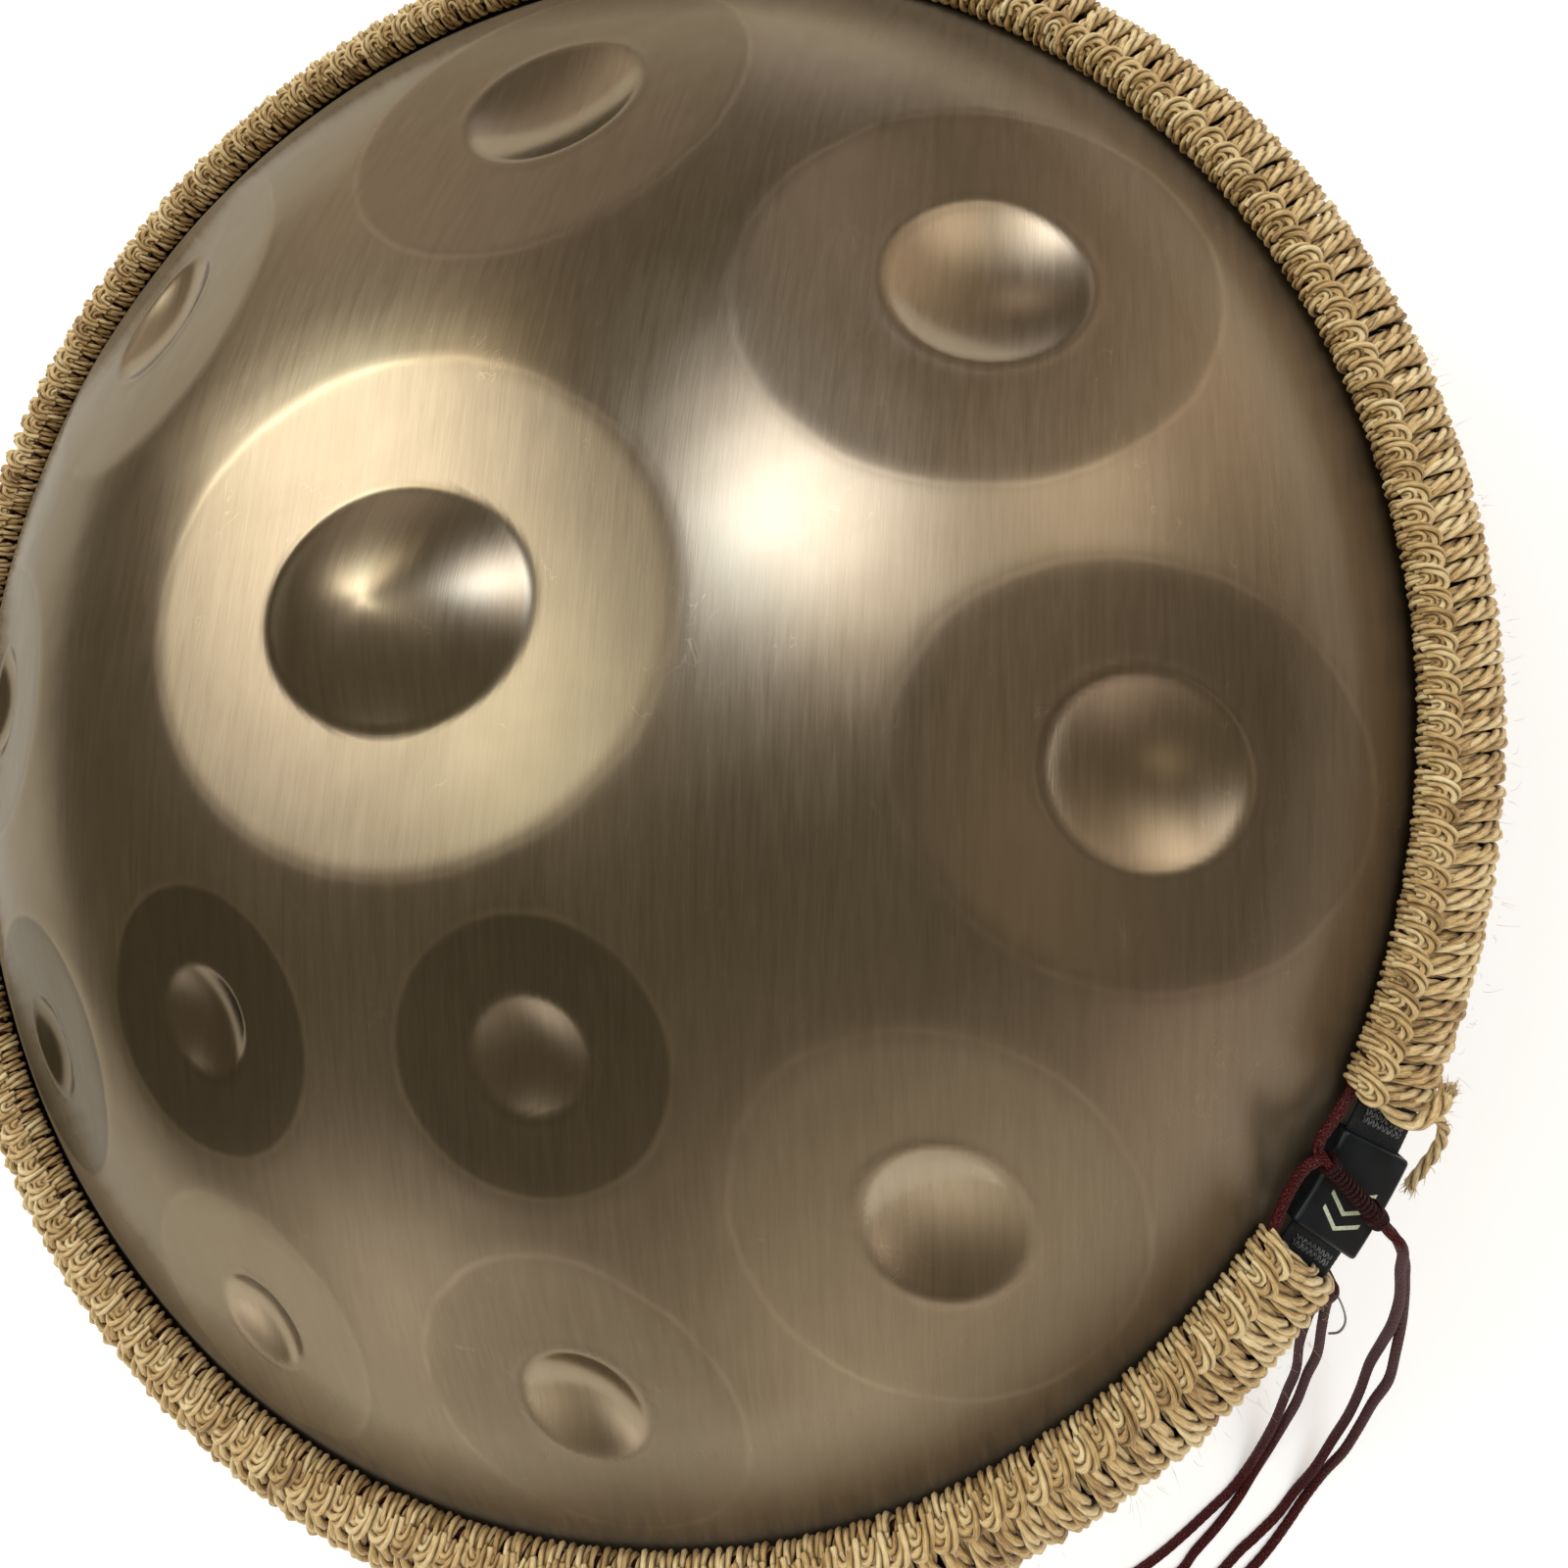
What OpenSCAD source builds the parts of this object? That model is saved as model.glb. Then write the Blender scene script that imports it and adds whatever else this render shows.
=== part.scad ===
// Handpan with a crocheted jute rim cover, webbing rim strap and drawstrings.
// Units are millimetres, +Z is up, the instrument stands on the lip of its port.

/* [Body] */

// Radius of the flange where the two shells meet
flange_radius = 267; // [240:1:290]

// Radius where the dome wall meets the flange
wall_radius = 256.5; // [230:0.5:280]

// Sheet steel thickness
sheet = 1.2; // [0.8:0.1:2]

// Height of the upper dome over the seam
dome_rise = 100.6; // [80:0.2:130]

// Depth of the lower bowl under the seam
bowl_drop = 119.4; // [90:0.2:140]

/* [Port] */

// Radius of the port neck, inside
neck_radius = 54; // [40:1:70]

// Length of the port neck inside the bowl
neck_length = 30; // [10:1:60]

// Radius of the rolled port lip
lip_radius = 6; // [3:0.5:10]

/* [Notes] */

// Height of the centre dome over its flat ring
ding_height = 12; // [6:0.5:20]

// Depth of a side note dimple as a share of its mean half width
dimple_share = 0.21; // [0.1:0.01:0.28]

/* [Rim] */

// Radius of each jute edging
edging_radius = 4.9; // [3.5:0.1:6]

// Width of the webbing strap
strap_width = 15.4; // [12:0.2:17]

// Thickness of the webbing strap
strap_thick = 1.4; // [1:0.1:1.6]

// Start of the gap in the jute cover, degrees
gap_start = -94.7; // [-96:0.1:-93]

// End of the gap in the jute cover, degrees
gap_end = -85.4; // [-87:0.1:-84]

// Angular length of the rubber sleeve
sleeve_angle = 5.8; // [4:0.1:7]

/* [Cords] */

// Diameter of the drawstring
cord_dia = 2.6; // [2:0.1:3]

/* [Hidden] */

$fn = 160;
bond = 0.4;
seam_z = 119;
flange_top = bond / 2 + sheet;
dome_h = dome_rise - flange_top;
dome_r = (wall_radius * wall_radius + dome_h * dome_h) / (2 * dome_h);
dome_c = seam_z + dome_rise - dome_r;
bowl_h = bowl_drop - flange_top;
bowl_r = (wall_radius * wall_radius + bowl_h * bowl_h) / (2 * bowl_h);
bowl_c = seam_z - bowl_drop + bowl_r;
lip_mid = neck_radius + lip_radius;
lip_z = lip_radius;

// Side notes: polar angle, azimuth, field half length, field half width,
// dimple half length, dimple half width
notes = [
    [26.7, 27, 77, 64, 34, 28],
    [27.5, -27, 73, 60, 31, 26],
    [29.5, -70.5, 66, 51, 29, 23],
    [30.9, -106.5, 58, 45, 23, 18],
    [32.2, -138, 52, 41, 20, 15.5],
    [32.8, -167, 48, 39, 18, 14.5],
    [31.6, 162, 49, 41, 18, 15.5],
    [30.5, 128, 54, 46, 21, 17.5],
    [28, 82.5, 74, 60, 29, 25],
    [18.6, -177.5, 37, 36.5, 15.5, 15],
    [17.2, -128.5, 35, 34.5, 15, 14.5]
];
ding_turn = -56;
ding_ring = [77, 66];
ding_dome = [38, 31];

// Strap profile: inner edge, fall angle
strap_r = 257.8;
strap_z = 6.3;
strap_fall = 22.9;
play = 0.3;
sleeve_wall = 1.5;
tack_thick = 0.5;

// Slider knot ends, relative to the seam plane
knot_gap = 1.75;
knot_wall = 0.8;
knot_run = 6.4;
knot_lead = 1.4;
cord_play = 0.3;
upper_knot_a = [2.9, -254.1, 15.8];
upper_knot_b = [-2.7, -271.3, 11];
lower_knot_a = [-17, -263.4, -19.6];
lower_knot_b = [-27.5, -276.6, -21.8];

function z_up(p) = [p[0], p[1], p[2] + seam_z];
function unit(v) = v / norm(v);
function side_of(a, b) = unit(cross(cross(b - a, [0, 0, 1]), b - a));

upper_dir = unit(upper_knot_b - upper_knot_a);
upper_lift = side_of(upper_knot_a, upper_knot_b) * knot_gap;
lower_dir = unit(lower_knot_b - lower_knot_a);
lower_lift = side_of(lower_knot_a, lower_knot_b) * knot_gap;

// Cord routes, relative to the seam plane until they reach the floor
upper_right_route = [
    [20.2, -254.2, 9], [14, -253.8, 9.6], [9, -253.1, 11], [6.4, -252.4, 12.4],
    upper_knot_a - upper_dir * knot_lead - upper_lift, upper_knot_a - upper_lift,
    upper_knot_b - upper_lift, upper_knot_b + upper_dir * knot_run - upper_lift,
    [-10.8, -285.9, -6.3], [-16, -290.9, -14.8], [-21.9, -296.2, -23.7], [-31.7, -304.1, -37.4],
    [-43.3, -311.8, -50.9], [-55, -319.3, -65], [-67.6, -324.6, -79.3], [-80.2, -329.7, -91.8],
    [-93.4, -333.8, -102.8], [-106.1, -335.9, -112.3], [-119, -336.7, -117.4],
    [-129.3, -336.1, -117.7], [-140.1, -335, -117.7], [-151.5, -333, -117.7],
    [-184, -326.6, -117.7], [-212, -323.6, -117.7]
];
upper_left_route = [
    [-20.8, -254, 9], [-14, -253, 10.2], [-7.6, -252, 12.6], [-2.6, -251.3, 15.8],
    [0.4, -251.6, 17.2], upper_knot_a - upper_dir * knot_lead + upper_lift,
    upper_knot_a + upper_lift, upper_knot_b + upper_lift,
    upper_knot_b + upper_dir * knot_run + upper_lift, [-13.5, -285.8, -4.7],
    [-18.7, -290.7, -13.2], [-24.5, -295.6, -22.3], [-34, -302.3, -36.6],
    [-43.8, -308.5, -52.1], [-55.3, -314.4, -67], [-67.7, -321, -80.7], [-80.1, -326.5, -93.2],
    [-93.1, -330.5, -104.2], [-106.8, -333, -111.7], [-118.9, -333.7, -117.4],
    [-128.9, -332.7, -117.7], [-139.3, -330.4, -117.7], [-150.4, -327.8, -117.7],
    [-184, -322.6, -117.7], [-212, -320.8, -117.7]
];
lower_right_route = [
    [20.2, -254.2, -9], [12, -255.4, -12.4], [3, -256.4, -17], [-6, -257.4, -20],
    [-12.6, -259.2, -21.2], lower_knot_a - lower_lift, lower_knot_b - lower_lift,
    lower_knot_b + lower_dir * knot_run - lower_lift, [-40.2, -286.5, -34.1],
    [-47.7, -291.2, -43], [-58.9, -298.7, -57.8], [-70.8, -304.6, -72.7],
    [-83.8, -310.7, -86.5], [-96.3, -315.6, -99.8], [-109.3, -319.2, -110.1],
    [-122.2, -321.4, -117.3], [-133.1, -321.2, -117.7], [-144.4, -320, -117.7],
    [-155.9, -318, -117.7], [-167.8, -316.1, -117.7], [-190, -305.6, -117.7],
    [-212, -299.6, -117.7]
];
lower_left_route = [
    [-20.8, -254, -9], [-15.2, -254.8, -11.6], [-12, -257.6, -14.8], [-13.2, -260.4, -17],
    lower_knot_a + lower_lift, lower_knot_b + lower_lift,
    lower_knot_b + lower_dir * knot_run + lower_lift, [-41.8, -284, -33.9],
    [-48.5, -287.6, -44], [-59.9, -294.2, -59.2], [-71.7, -301.8, -73.3],
    [-84.1, -307.7, -87.5], [-97.7, -313, -99.2], [-110.6, -316.7, -108.9],
    [-122.9, -318.8, -115.9], [-132.8, -318.3, -117.7], [-143.5, -315.7, -117.7],
    [-154.8, -312.8, -117.7], [-166.3, -309.4, -117.7], [-190, -301.2, -117.7],
    [-212, -296.8, -117.7]
];
long_tail_route = [
    [22.4, -258, 11.4], [21.2, -261.5, 10.4], [20.2, -265.4, 8.6], [20.6, -268.9, 6.8],
    [23.5, -271.4, 5], [27.2, -272.5, 5.4], [30.4, -272.4, 6.6], [32.6, -271.9, 8]
];
short_tail_route = [
    [24.2, -271.2, 5.4], [24.6, -274.8, 2], [22.8, -278.4, -2.4], [18.8, -280.8, -6.4],
    [13.4, -281.9, -10], [8.4, -282.4, -13], [3.9, -282.9, -15.5]
];
loop_route = [
    [-32.9, -280.3, -26], [-33.2, -282.8, -27], [-35, -287, -31], [-39, -292, -37],
    [-42.8, -295.1, -42], [-46.8, -296.3, -46], [-49.4, -295.2, -48]
];
tail_dia = 4.2;
loop_dia = 0.6;
end_knot_r = 4.6;
end_knot_len = 9;
knot_head = 1.2;

steel = [0.45, 0.38, 0.3];
jute = [0.76, 0.6, 0.38];
black = [0.08, 0.08, 0.09];
maroon = [0.3, 0.1, 0.1];

// Tangent of a route at point i
function route_dir(p, i) = unit(p[min(i + 1, len(p) - 1)] - p[max(i - 1, 0)]);

// Part of v square to t
function square_to(v, t) = unit(v - t * (v * t));

// Ring normals carried along the route without twist
function route_sides(p) = [
    for (i = 0, n = square_to([0, 0.3, 1], route_dir(p, 0)); i < len(p);
        i = i + 1, n = i < len(p) ? square_to(n, route_dir(p, i)) : n) n
];

// Tube of round section along a route
module tube(p, dia, sides = 8) {
    n = route_sides(p);
    rings = [
        for (i = [0 : len(p) - 1], k = [0 : sides - 1])
            let (t = route_dir(p, i), a = 360 * k / sides)
                z_up(p[i] + (n[i] * cos(a) + cross(t, n[i]) * sin(a)) * dia / 2)
    ];
    walls = [
        for (i = [0 : len(p) - 2], k = [0 : sides - 1])
            let (j = (k + 1) % sides)
                [i * sides + k, (i + 1) * sides + k, (i + 1) * sides + j, i * sides + j]
    ];
    start = [for (k = [0 : sides - 1]) k];
    finish = [for (k = [sides - 1 : -1 : 0]) (len(p) - 1) * sides + k];
    polyhedron(points = rings, faces = concat(walls, [start, finish]), convexity = 6);
}

// Places children at a note, local Z along the dome normal
module at_note(polar, azimuth) {
    translate([0, 0, dome_c])
        rotate([0, 0, azimuth])
            rotate([0, polar, 0])
                children();
}

// Everything above a shallow trough over an elliptical field
module field_tool(half_long, half_wide, inset) {
    drop = half_wide * half_wide / (2 * dome_r);
    bend = 1 / max((1 - pow(half_wide / half_long, 2)) / dome_r, 0.00004);
    difference() {
        translate([-half_long * 1.15, -half_wide * 1.2, dome_r - drop - 8])
            cube([half_long * 2.3, half_wide * 2.4, drop + 16]);
        translate([0, 0, dome_r - drop - bend])
            rotate([90, 0, 0])
                cylinder(r = bend - inset, h = half_wide * 3, center = true, $fn = 1200);
    }
}

// Lens solid with two bending radii, its lowest point at the origin, opening upwards
module lens(half_long, half_wide, depth, grow) {
    long_r = (half_long * half_long + depth * depth) / (2 * depth);
    wide_r = (half_wide * half_wide + depth * depth) / (2 * depth);
    translate([0, 0, long_r])
        rotate([90, 0, 0])
            rotate_extrude($fn = 240)
                intersection() {
                    translate([long_r - wide_r, 0])
                        circle(r = wide_r + grow, $fn = 240);
                    translate([0, -half_wide * 3])
                        square([long_r + grow + 1, half_wide * 6]);
                }
}

// Solid under the upper dome, with every note formed in it
module dome_form(inset) {
    ding_drop = ding_ring[1] * ding_ring[1] / (2 * dome_r);
    union() {
        difference() {
            translate([0, 0, dome_c])
                sphere(r = dome_r - inset, $fn = 300);
            at_note(0, ding_turn)
                field_tool(ding_ring[0], ding_ring[1], inset);
            for (n = notes)
                at_note(n[0], n[1])
                    field_tool(n[2], n[3], inset);
            for (n = notes) {
                depth = dimple_share * (n[4] + n[5]) / 2;
                at_note(n[0], n[1])
                    translate([0, 0, dome_r - n[3] * n[3] / (2 * dome_r) - depth])
                        lens(n[4], n[5], depth, inset);
            }
        }
        at_note(0, ding_turn)
            translate([0, 0, dome_r - ding_drop + ding_height])
                mirror([0, 0, 1])
                    intersection() {
                        lens(ding_dome[0], ding_dome[1], ding_height, -inset);
                        translate([-60, -60, -1])
                            cube([120, 120, ding_height + 4]);
                    }
    }
}

module upper_shell() {
    color(steel)
        difference() {
            union() {
                intersection() {
                    dome_form(0);
                    translate([0, 0, seam_z + bond / 2])
                        cylinder(r = flange_radius, h = dome_rise + 30);
                }
                translate([0, 0, seam_z + bond / 2])
                    cylinder(r = flange_radius, h = sheet);
            }
            dome_form(sheet);
        }
}

module bowl_form(inset) {
    intersection() {
        translate([0, 0, bowl_c])
            sphere(r = bowl_r - inset, $fn = 300);
        translate([0, 0, -bowl_r])
            cylinder(r = flange_radius, h = bowl_r + seam_z - bond / 2);
    }
}

module lower_shell() {
    color(steel) {
        difference() {
            union() {
                bowl_form(0);
                translate([0, 0, seam_z - bond / 2 - sheet])
                    cylinder(r = flange_radius, h = sheet);
            }
            translate([0, 0, bowl_c])
                sphere(r = bowl_r - sheet, $fn = 300);
            translate([0, 0, -1])
                cylinder(r = lip_mid + lip_radius - sheet / 2, h = 60);
        }
        rotate_extrude()
            translate([lip_mid, lip_z])
                difference() {
                    circle(r = lip_radius);
                    circle(r = lip_radius - sheet);
                    translate([-lip_radius - 1, 0])
                        square([2 * lip_radius + 2, lip_radius + 1]);
                }
        rotate_extrude()
            translate([neck_radius, lip_z])
                square([sheet, neck_length]);
        rotate_extrude()
            translate([lip_mid + lip_radius - sheet, lip_z])
                square([sheet, 1.2]);
    }
}

module seam_bond() {
    color([0.2, 0.18, 0.16])
        translate([0, 0, seam_z - bond / 2])
            difference() {
                cylinder(r = flange_radius - 0.6, h = bond);
                translate([0, 0, -1])
                    cylinder(r = wall_radius + 0.6, h = bond + 2);
            }
}

// Places a flat profile in strap axes: x along the fall, y out of the strap
module strap_axes() {
    translate([strap_r, strap_z])
        rotate(-strap_fall)
            children();
}

// Sweeps a profile about the seam centre from one angle through another
module swept(from, angle) {
    translate([0, 0, seam_z])
        rotate([0, 0, from])
            rotate_extrude(angle = angle)
                children();
}

module rim_strap() {
    color(black)
        translate([0, 0, seam_z])
            rotate_extrude()
                strap_axes()
                    translate([0, -strap_thick / 2])
                        square([strap_width, strap_thick]);
}

module strap_tack(from, angle) {
    color([0.02, 0.02, 0.02])
        swept(from, angle)
            strap_axes()
                translate([2.4, strap_thick / 2])
                    square([strap_width - 4.8, tack_thick]);
}

module strap_tack_left() {
    strap_tack(gap_start + 0.1, 0.7);
}

module strap_tack_right() {
    strap_tack(gap_end - 1.5, 1.2);
}

module strap_sleeve() {
    top = strap_thick / 2 + tack_thick + play + sleeve_wall;
    low = strap_thick / 2 + play + sleeve_wall;
    color([0.05, 0.06, 0.08])
        swept(-93.4, sleeve_angle)
            strap_axes()
                difference() {
                    translate([-play - sleeve_wall, -low])
                        square([strap_width + 2 * (play + sleeve_wall), top + low]);
                    translate([-play, -strap_thick / 2 - play])
                        square([strap_width + 2 * play, strap_thick + tack_thick + 2 * play]);
                    translate([2.2, -low - 1])
                        square([strap_width - 4.4, low + 1]);
                }
}

// Jute band from the upper edging, over the strap, round to the lower edging
module cover_band() {
    polygon([[257, 14], [264, 12.8], [270, 9.6], [274.8, 5], [277, -1.5],
        [275.6, -7], [270.5, -11.4], [263, -13.6], [257, -14], [257, -10.8],
        [261, -10.6], [267, -8.8], [271.6, -5], [273.4, -0.8], [272.9, 1.6],
        [259, 7.7], [257, 8.4]]);
}

module jute_cover() {
    span = 360 - (gap_end - gap_start);
    color(jute)
        difference() {
            union() {
                swept(gap_end, span)
                    cover_band();
                for (z = [-9.2, 9.2])
                    swept(gap_end, span)
                        translate([256.8, z])
                            circle(r = edging_radius);
            }
            for (z = [-9, 9])
                swept(gap_end - 1, span + 2)
                    translate([254.8, z])
                        circle(r = cord_dia / 2 + cord_play, $fn = 48);
            swept(gap_end - 1, span + 2)
                strap_axes()
                    translate([-play, -4])
                        square([strap_width + 2 * play, 4 + strap_thick / 2 + play]);
        }
}

module jute_tail_long() {
    color(jute)
        tube(long_tail_route, tail_dia, 10);
}

module jute_tail_short() {
    color(jute)
        tube(short_tail_route, tail_dia * 0.7, 10);
}

module drawstring(height) {
    color(maroon)
        swept(gap_end, 360 - (gap_end - gap_start))
            translate([254.8, height])
                circle(r = cord_dia / 2, $fn = 48);
}

module drawstring_upper() {
    drawstring(9);
}

module drawstring_lower() {
    drawstring(-9);
}

module upper_cord_left() {
    color(maroon)
        tube(upper_left_route, cord_dia);
}

module upper_cord_right() {
    color(maroon)
        tube(upper_right_route, cord_dia);
}

module lower_cord_left() {
    color(maroon)
        tube(lower_left_route, cord_dia);
}

module lower_cord_right() {
    color(maroon)
        tube(lower_right_route, cord_dia);
}

// Places children with local Z from one point towards another
module aimed(a, b) {
    d = b - a;
    translate(z_up(a))
        rotate([0, 0, atan2(d[1], d[0])])
            rotate([0, acos(d[2] / norm(d)), 0])
                children();
}

// Whipping round two cords, one above the other
module slider_knot(a, b) {
    length = norm(b - a);
    bore = cord_dia / 2 + cord_play;
    color(maroon)
        aimed(a, b)
            difference() {
                union() {
                    for (s = [-1, 1])
                        translate([s * knot_gap, 0, 0])
                            cylinder(r = bore + knot_wall, h = length);
                    translate([-knot_gap, -bore - knot_wall, 0])
                        cube([2 * knot_gap, 2 * (bore + knot_wall), length]);
                    for (z = [0, length - knot_head])
                        translate([0, 0, z])
                            cylinder(r = knot_gap + bore, h = knot_head);
                }
                for (s = [-1, 1])
                    translate([s * knot_gap, 0, -1])
                        cylinder(r = bore, h = length + 2);
            }
}

module slider_knot_upper() {
    slider_knot(upper_knot_a, upper_knot_b);
}

module slider_knot_lower() {
    slider_knot(lower_knot_a, lower_knot_b);
}

// Tight knot that ends a pair of cords, lying on the floor
module end_knot(at, turn) {
    edge = 1.6;
    color(maroon)
        translate(z_up(at))
            rotate([0, 0, turn])
                rotate([0, -90, 0])
                    rotate_extrude()
                        union() {
                            square([end_knot_r - edge, end_knot_len]);
                            translate([0, edge])
                                square([end_knot_r, end_knot_len - 2 * edge]);
                            translate([end_knot_r - edge, edge])
                                circle(r = edge, $fn = 40);
                            translate([end_knot_r - edge, end_knot_len - edge])
                                circle(r = edge, $fn = 40);
                        }
}

module end_knot_upper() {
    end_knot([-212, -322.2, -seam_z + end_knot_r], 0);
}

module end_knot_lower() {
    end_knot([-212, -298.2, -seam_z + end_knot_r], -6);
}

module thread_loop() {
    color([0.5, 0.48, 0.45])
        tube(loop_route, loop_dia);
}

upper_shell();
lower_shell();
seam_bond();
rim_strap();
strap_tack_left();
strap_tack_right();
strap_sleeve();
jute_cover();
jute_tail_long();
jute_tail_short();
drawstring_upper();
drawstring_lower();
upper_cord_left();
upper_cord_right();
lower_cord_left();
lower_cord_right();
slider_knot_upper();
slider_knot_lower();
end_knot_upper();
end_knot_lower();
thread_loop();
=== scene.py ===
import math

import bpy
import numpy as np
from mathutils import Matrix, Vector


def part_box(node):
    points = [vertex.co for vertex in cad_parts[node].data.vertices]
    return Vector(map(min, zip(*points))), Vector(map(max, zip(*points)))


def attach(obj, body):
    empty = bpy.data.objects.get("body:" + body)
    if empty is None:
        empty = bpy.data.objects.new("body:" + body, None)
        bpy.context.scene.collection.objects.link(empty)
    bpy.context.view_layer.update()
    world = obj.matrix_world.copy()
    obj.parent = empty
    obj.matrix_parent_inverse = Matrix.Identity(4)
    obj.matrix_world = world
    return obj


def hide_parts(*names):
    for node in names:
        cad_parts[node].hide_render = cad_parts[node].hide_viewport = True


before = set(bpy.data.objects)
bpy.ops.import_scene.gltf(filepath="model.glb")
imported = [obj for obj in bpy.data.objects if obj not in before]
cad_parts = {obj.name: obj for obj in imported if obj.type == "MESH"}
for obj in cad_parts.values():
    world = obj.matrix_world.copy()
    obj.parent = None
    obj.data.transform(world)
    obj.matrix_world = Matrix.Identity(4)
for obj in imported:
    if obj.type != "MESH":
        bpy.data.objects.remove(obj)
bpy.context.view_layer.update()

rng = np.random.default_rng(11)

# Height of the seam plane and diameter of the cords, in millimetres
SEAM = 119.0
CORD = 2.6


# --- meshes

def make_piece(name, verts_mm, face_sets, uvs=None, material=None, smooth=True, lay=None):
    """Object from vertices in millimetres and arrays of faces, with a UV pair for each face corner."""
    mesh = bpy.data.meshes.new(name)
    verts = np.asarray(verts_mm, float) * 0.001
    face_sets = [np.asarray(f, np.int64) for f in face_sets if len(f)]
    corners = np.concatenate([f.ravel() for f in face_sets])
    sizes = np.concatenate([np.full(len(f), f.shape[1]) for f in face_sets])
    starts = np.concatenate([[0], np.cumsum(sizes)[:-1]])
    mesh.vertices.add(len(verts))
    mesh.vertices.foreach_set("co", verts.astype(np.float32).ravel())
    mesh.loops.add(len(corners))
    mesh.loops.foreach_set("vertex_index", corners.astype(np.int32))
    mesh.polygons.add(len(sizes))
    mesh.polygons.foreach_set("loop_start", starts.astype(np.int32))
    mesh.update(calc_edges=True)
    mesh.polygons.foreach_set("use_smooth", np.full(len(sizes), smooth))
    if uvs is not None:
        layer = mesh.uv_layers.new(name="uv")
        layer.data.foreach_set("uv", np.concatenate([u.ravel() for u in uvs]).astype(np.float32))
    if lay is not None:
        values = mesh.attributes.new("lay", "FLOAT_VECTOR", "POINT")
        values.data.foreach_set("vector", np.asarray(lay, np.float32).ravel())
    ob = bpy.data.objects.new(name, mesh)
    bpy.context.scene.collection.objects.link(ob)
    if material is not None:
        mesh.materials.append(material)
    return ob


def settle(piece, body, node=None):
    """Puts a piece on a body and in place of a CAD node."""
    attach(piece, body)
    if node:
        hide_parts(node)
    return piece


def smooth_line(points, step):
    """Points about a step apart on a smooth curve through the given ones."""
    p = np.asarray(points, float)
    p = np.vstack([2 * p[0] - p[1], p, 2 * p[-1] - p[-2]])
    t = np.linspace(0, 1, 32, endpoint=False)[:, None]
    parts = []
    for i in range(1, len(p) - 2):
        a, b, c, d = p[i - 1], p[i], p[i + 1], p[i + 2]
        parts.append(0.5 * (2 * b + (c - a) * t + (2 * a - 5 * b + 4 * c - d) * t ** 2
                            + (3 * b - a - 3 * c + d) * t ** 3))
    dense = np.vstack(parts + [p[-2:-1]])
    run = np.concatenate([[0], np.cumsum(np.linalg.norm(np.diff(dense, axis=0), axis=1))])
    at = np.linspace(0, run[-1], max(3, int(round(run[-1] / step)) + 1))
    return np.stack([np.interp(at, run, dense[:, k]) for k in range(3)], 1)


def unit(v):
    return v / np.linalg.norm(v, axis=-1, keepdims=True)


def side_vectors(lines):
    """Tangents and twist-free side vectors of an array of lines (count, points, 3)."""
    tan = unit(np.gradient(lines, axis=1))
    v = np.where(np.abs(tan[:, 0, 2:3]) < 0.9, [[0.0, 0.0, 1.0]], [[1.0, 0.0, 0.0]])
    side = np.empty_like(lines)
    for i in range(lines.shape[1]):
        v = unit(v - tan[:, i] * (v * tan[:, i]).sum(1, keepdims=True))
        side[:, i] = v
    return tan, side


def run_length(lines):
    steps = np.linalg.norm(np.diff(lines, axis=1), axis=2)
    return np.concatenate([np.zeros((len(lines), 1)), np.cumsum(steps, axis=1)], axis=1)


def tubes(lines, radius, sides):
    """Capped tubes along lines. radius broadcasts to (count, points, sides)."""
    lines = np.asarray(lines, float)
    count, points, _ = lines.shape
    tan, side = side_vectors(lines)
    other = np.cross(tan, side)
    a = 2 * math.pi * np.arange(sides) / sides
    radius = np.broadcast_to(radius, (count, points, sides))[..., None]
    c, s = np.cos(a)[None, None, :, None], np.sin(a)[None, None, :, None]
    around = side[:, :, None] * c + other[:, :, None] * s
    verts = (lines[:, :, None] + around * radius).reshape(-1, 3)
    base = (np.arange(count) * points * sides)[:, None, None]
    i = (np.arange(points - 1) * sides)[None, :, None]
    k = np.arange(sides)[None, None]
    k2 = (k + 1) % sides
    quads = np.stack([base + i + k, base + i + k2, base + i + sides + k2, base + i + sides + k], -1)
    ends = np.concatenate([
        (base[:, 0] + np.arange(sides)[::-1][None]),
        (base[:, 0] + (points - 1) * sides + np.arange(sides)[None])])
    u = run_length(lines)
    shape = (count, points - 1, sides)
    u0, u1, v0, v1 = (np.broadcast_to(x, shape) for x in (u[:, :-1, None], u[:, 1:, None],
                                                          k / sides, (k + 1) / sides))
    uv = np.stack([np.stack(pair, -1) for pair in ((u0, v0), (u0, v1), (u1, v1), (u1, v0))], -2)
    cap_uv = np.stack([np.zeros(ends.shape), np.tile(np.arange(sides) / sides, (len(ends), 1))], -1)
    return verts, [quads.reshape(-1, 4), ends], [uv.reshape(-1, 2), cap_uv.reshape(-1, 2)]


def join_sets(sets):
    """Joins several (verts, faces, uvs) into one."""
    verts, faces, uvs, base = [], {}, {}, 0
    for v, fs, us in sets:
        for f, u in zip(fs, us):
            faces.setdefault(f.shape[1], []).append(f + base)
            uvs.setdefault(f.shape[1], []).append(u)
        verts.append(v)
        base += len(v)
    sizes = sorted(faces)
    return (np.concatenate(verts), [np.concatenate(faces[s]) for s in sizes],
            [np.concatenate(uvs[s]) for s in sizes])


def swirl(lines, strands, offset, pitch, phase):
    """Lines of strands twisted round the given lines."""
    tan, side = side_vectors(lines)
    other = np.cross(tan, side)
    run = run_length(lines)
    out = []
    for s in range(strands):
        a = -2 * math.pi * run / pitch + 2 * math.pi * s / strands + phase
        out.append(lines + offset * (side * np.cos(a)[..., None] + other * np.sin(a)[..., None]))
    return np.concatenate(out)


# --- materials

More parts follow.
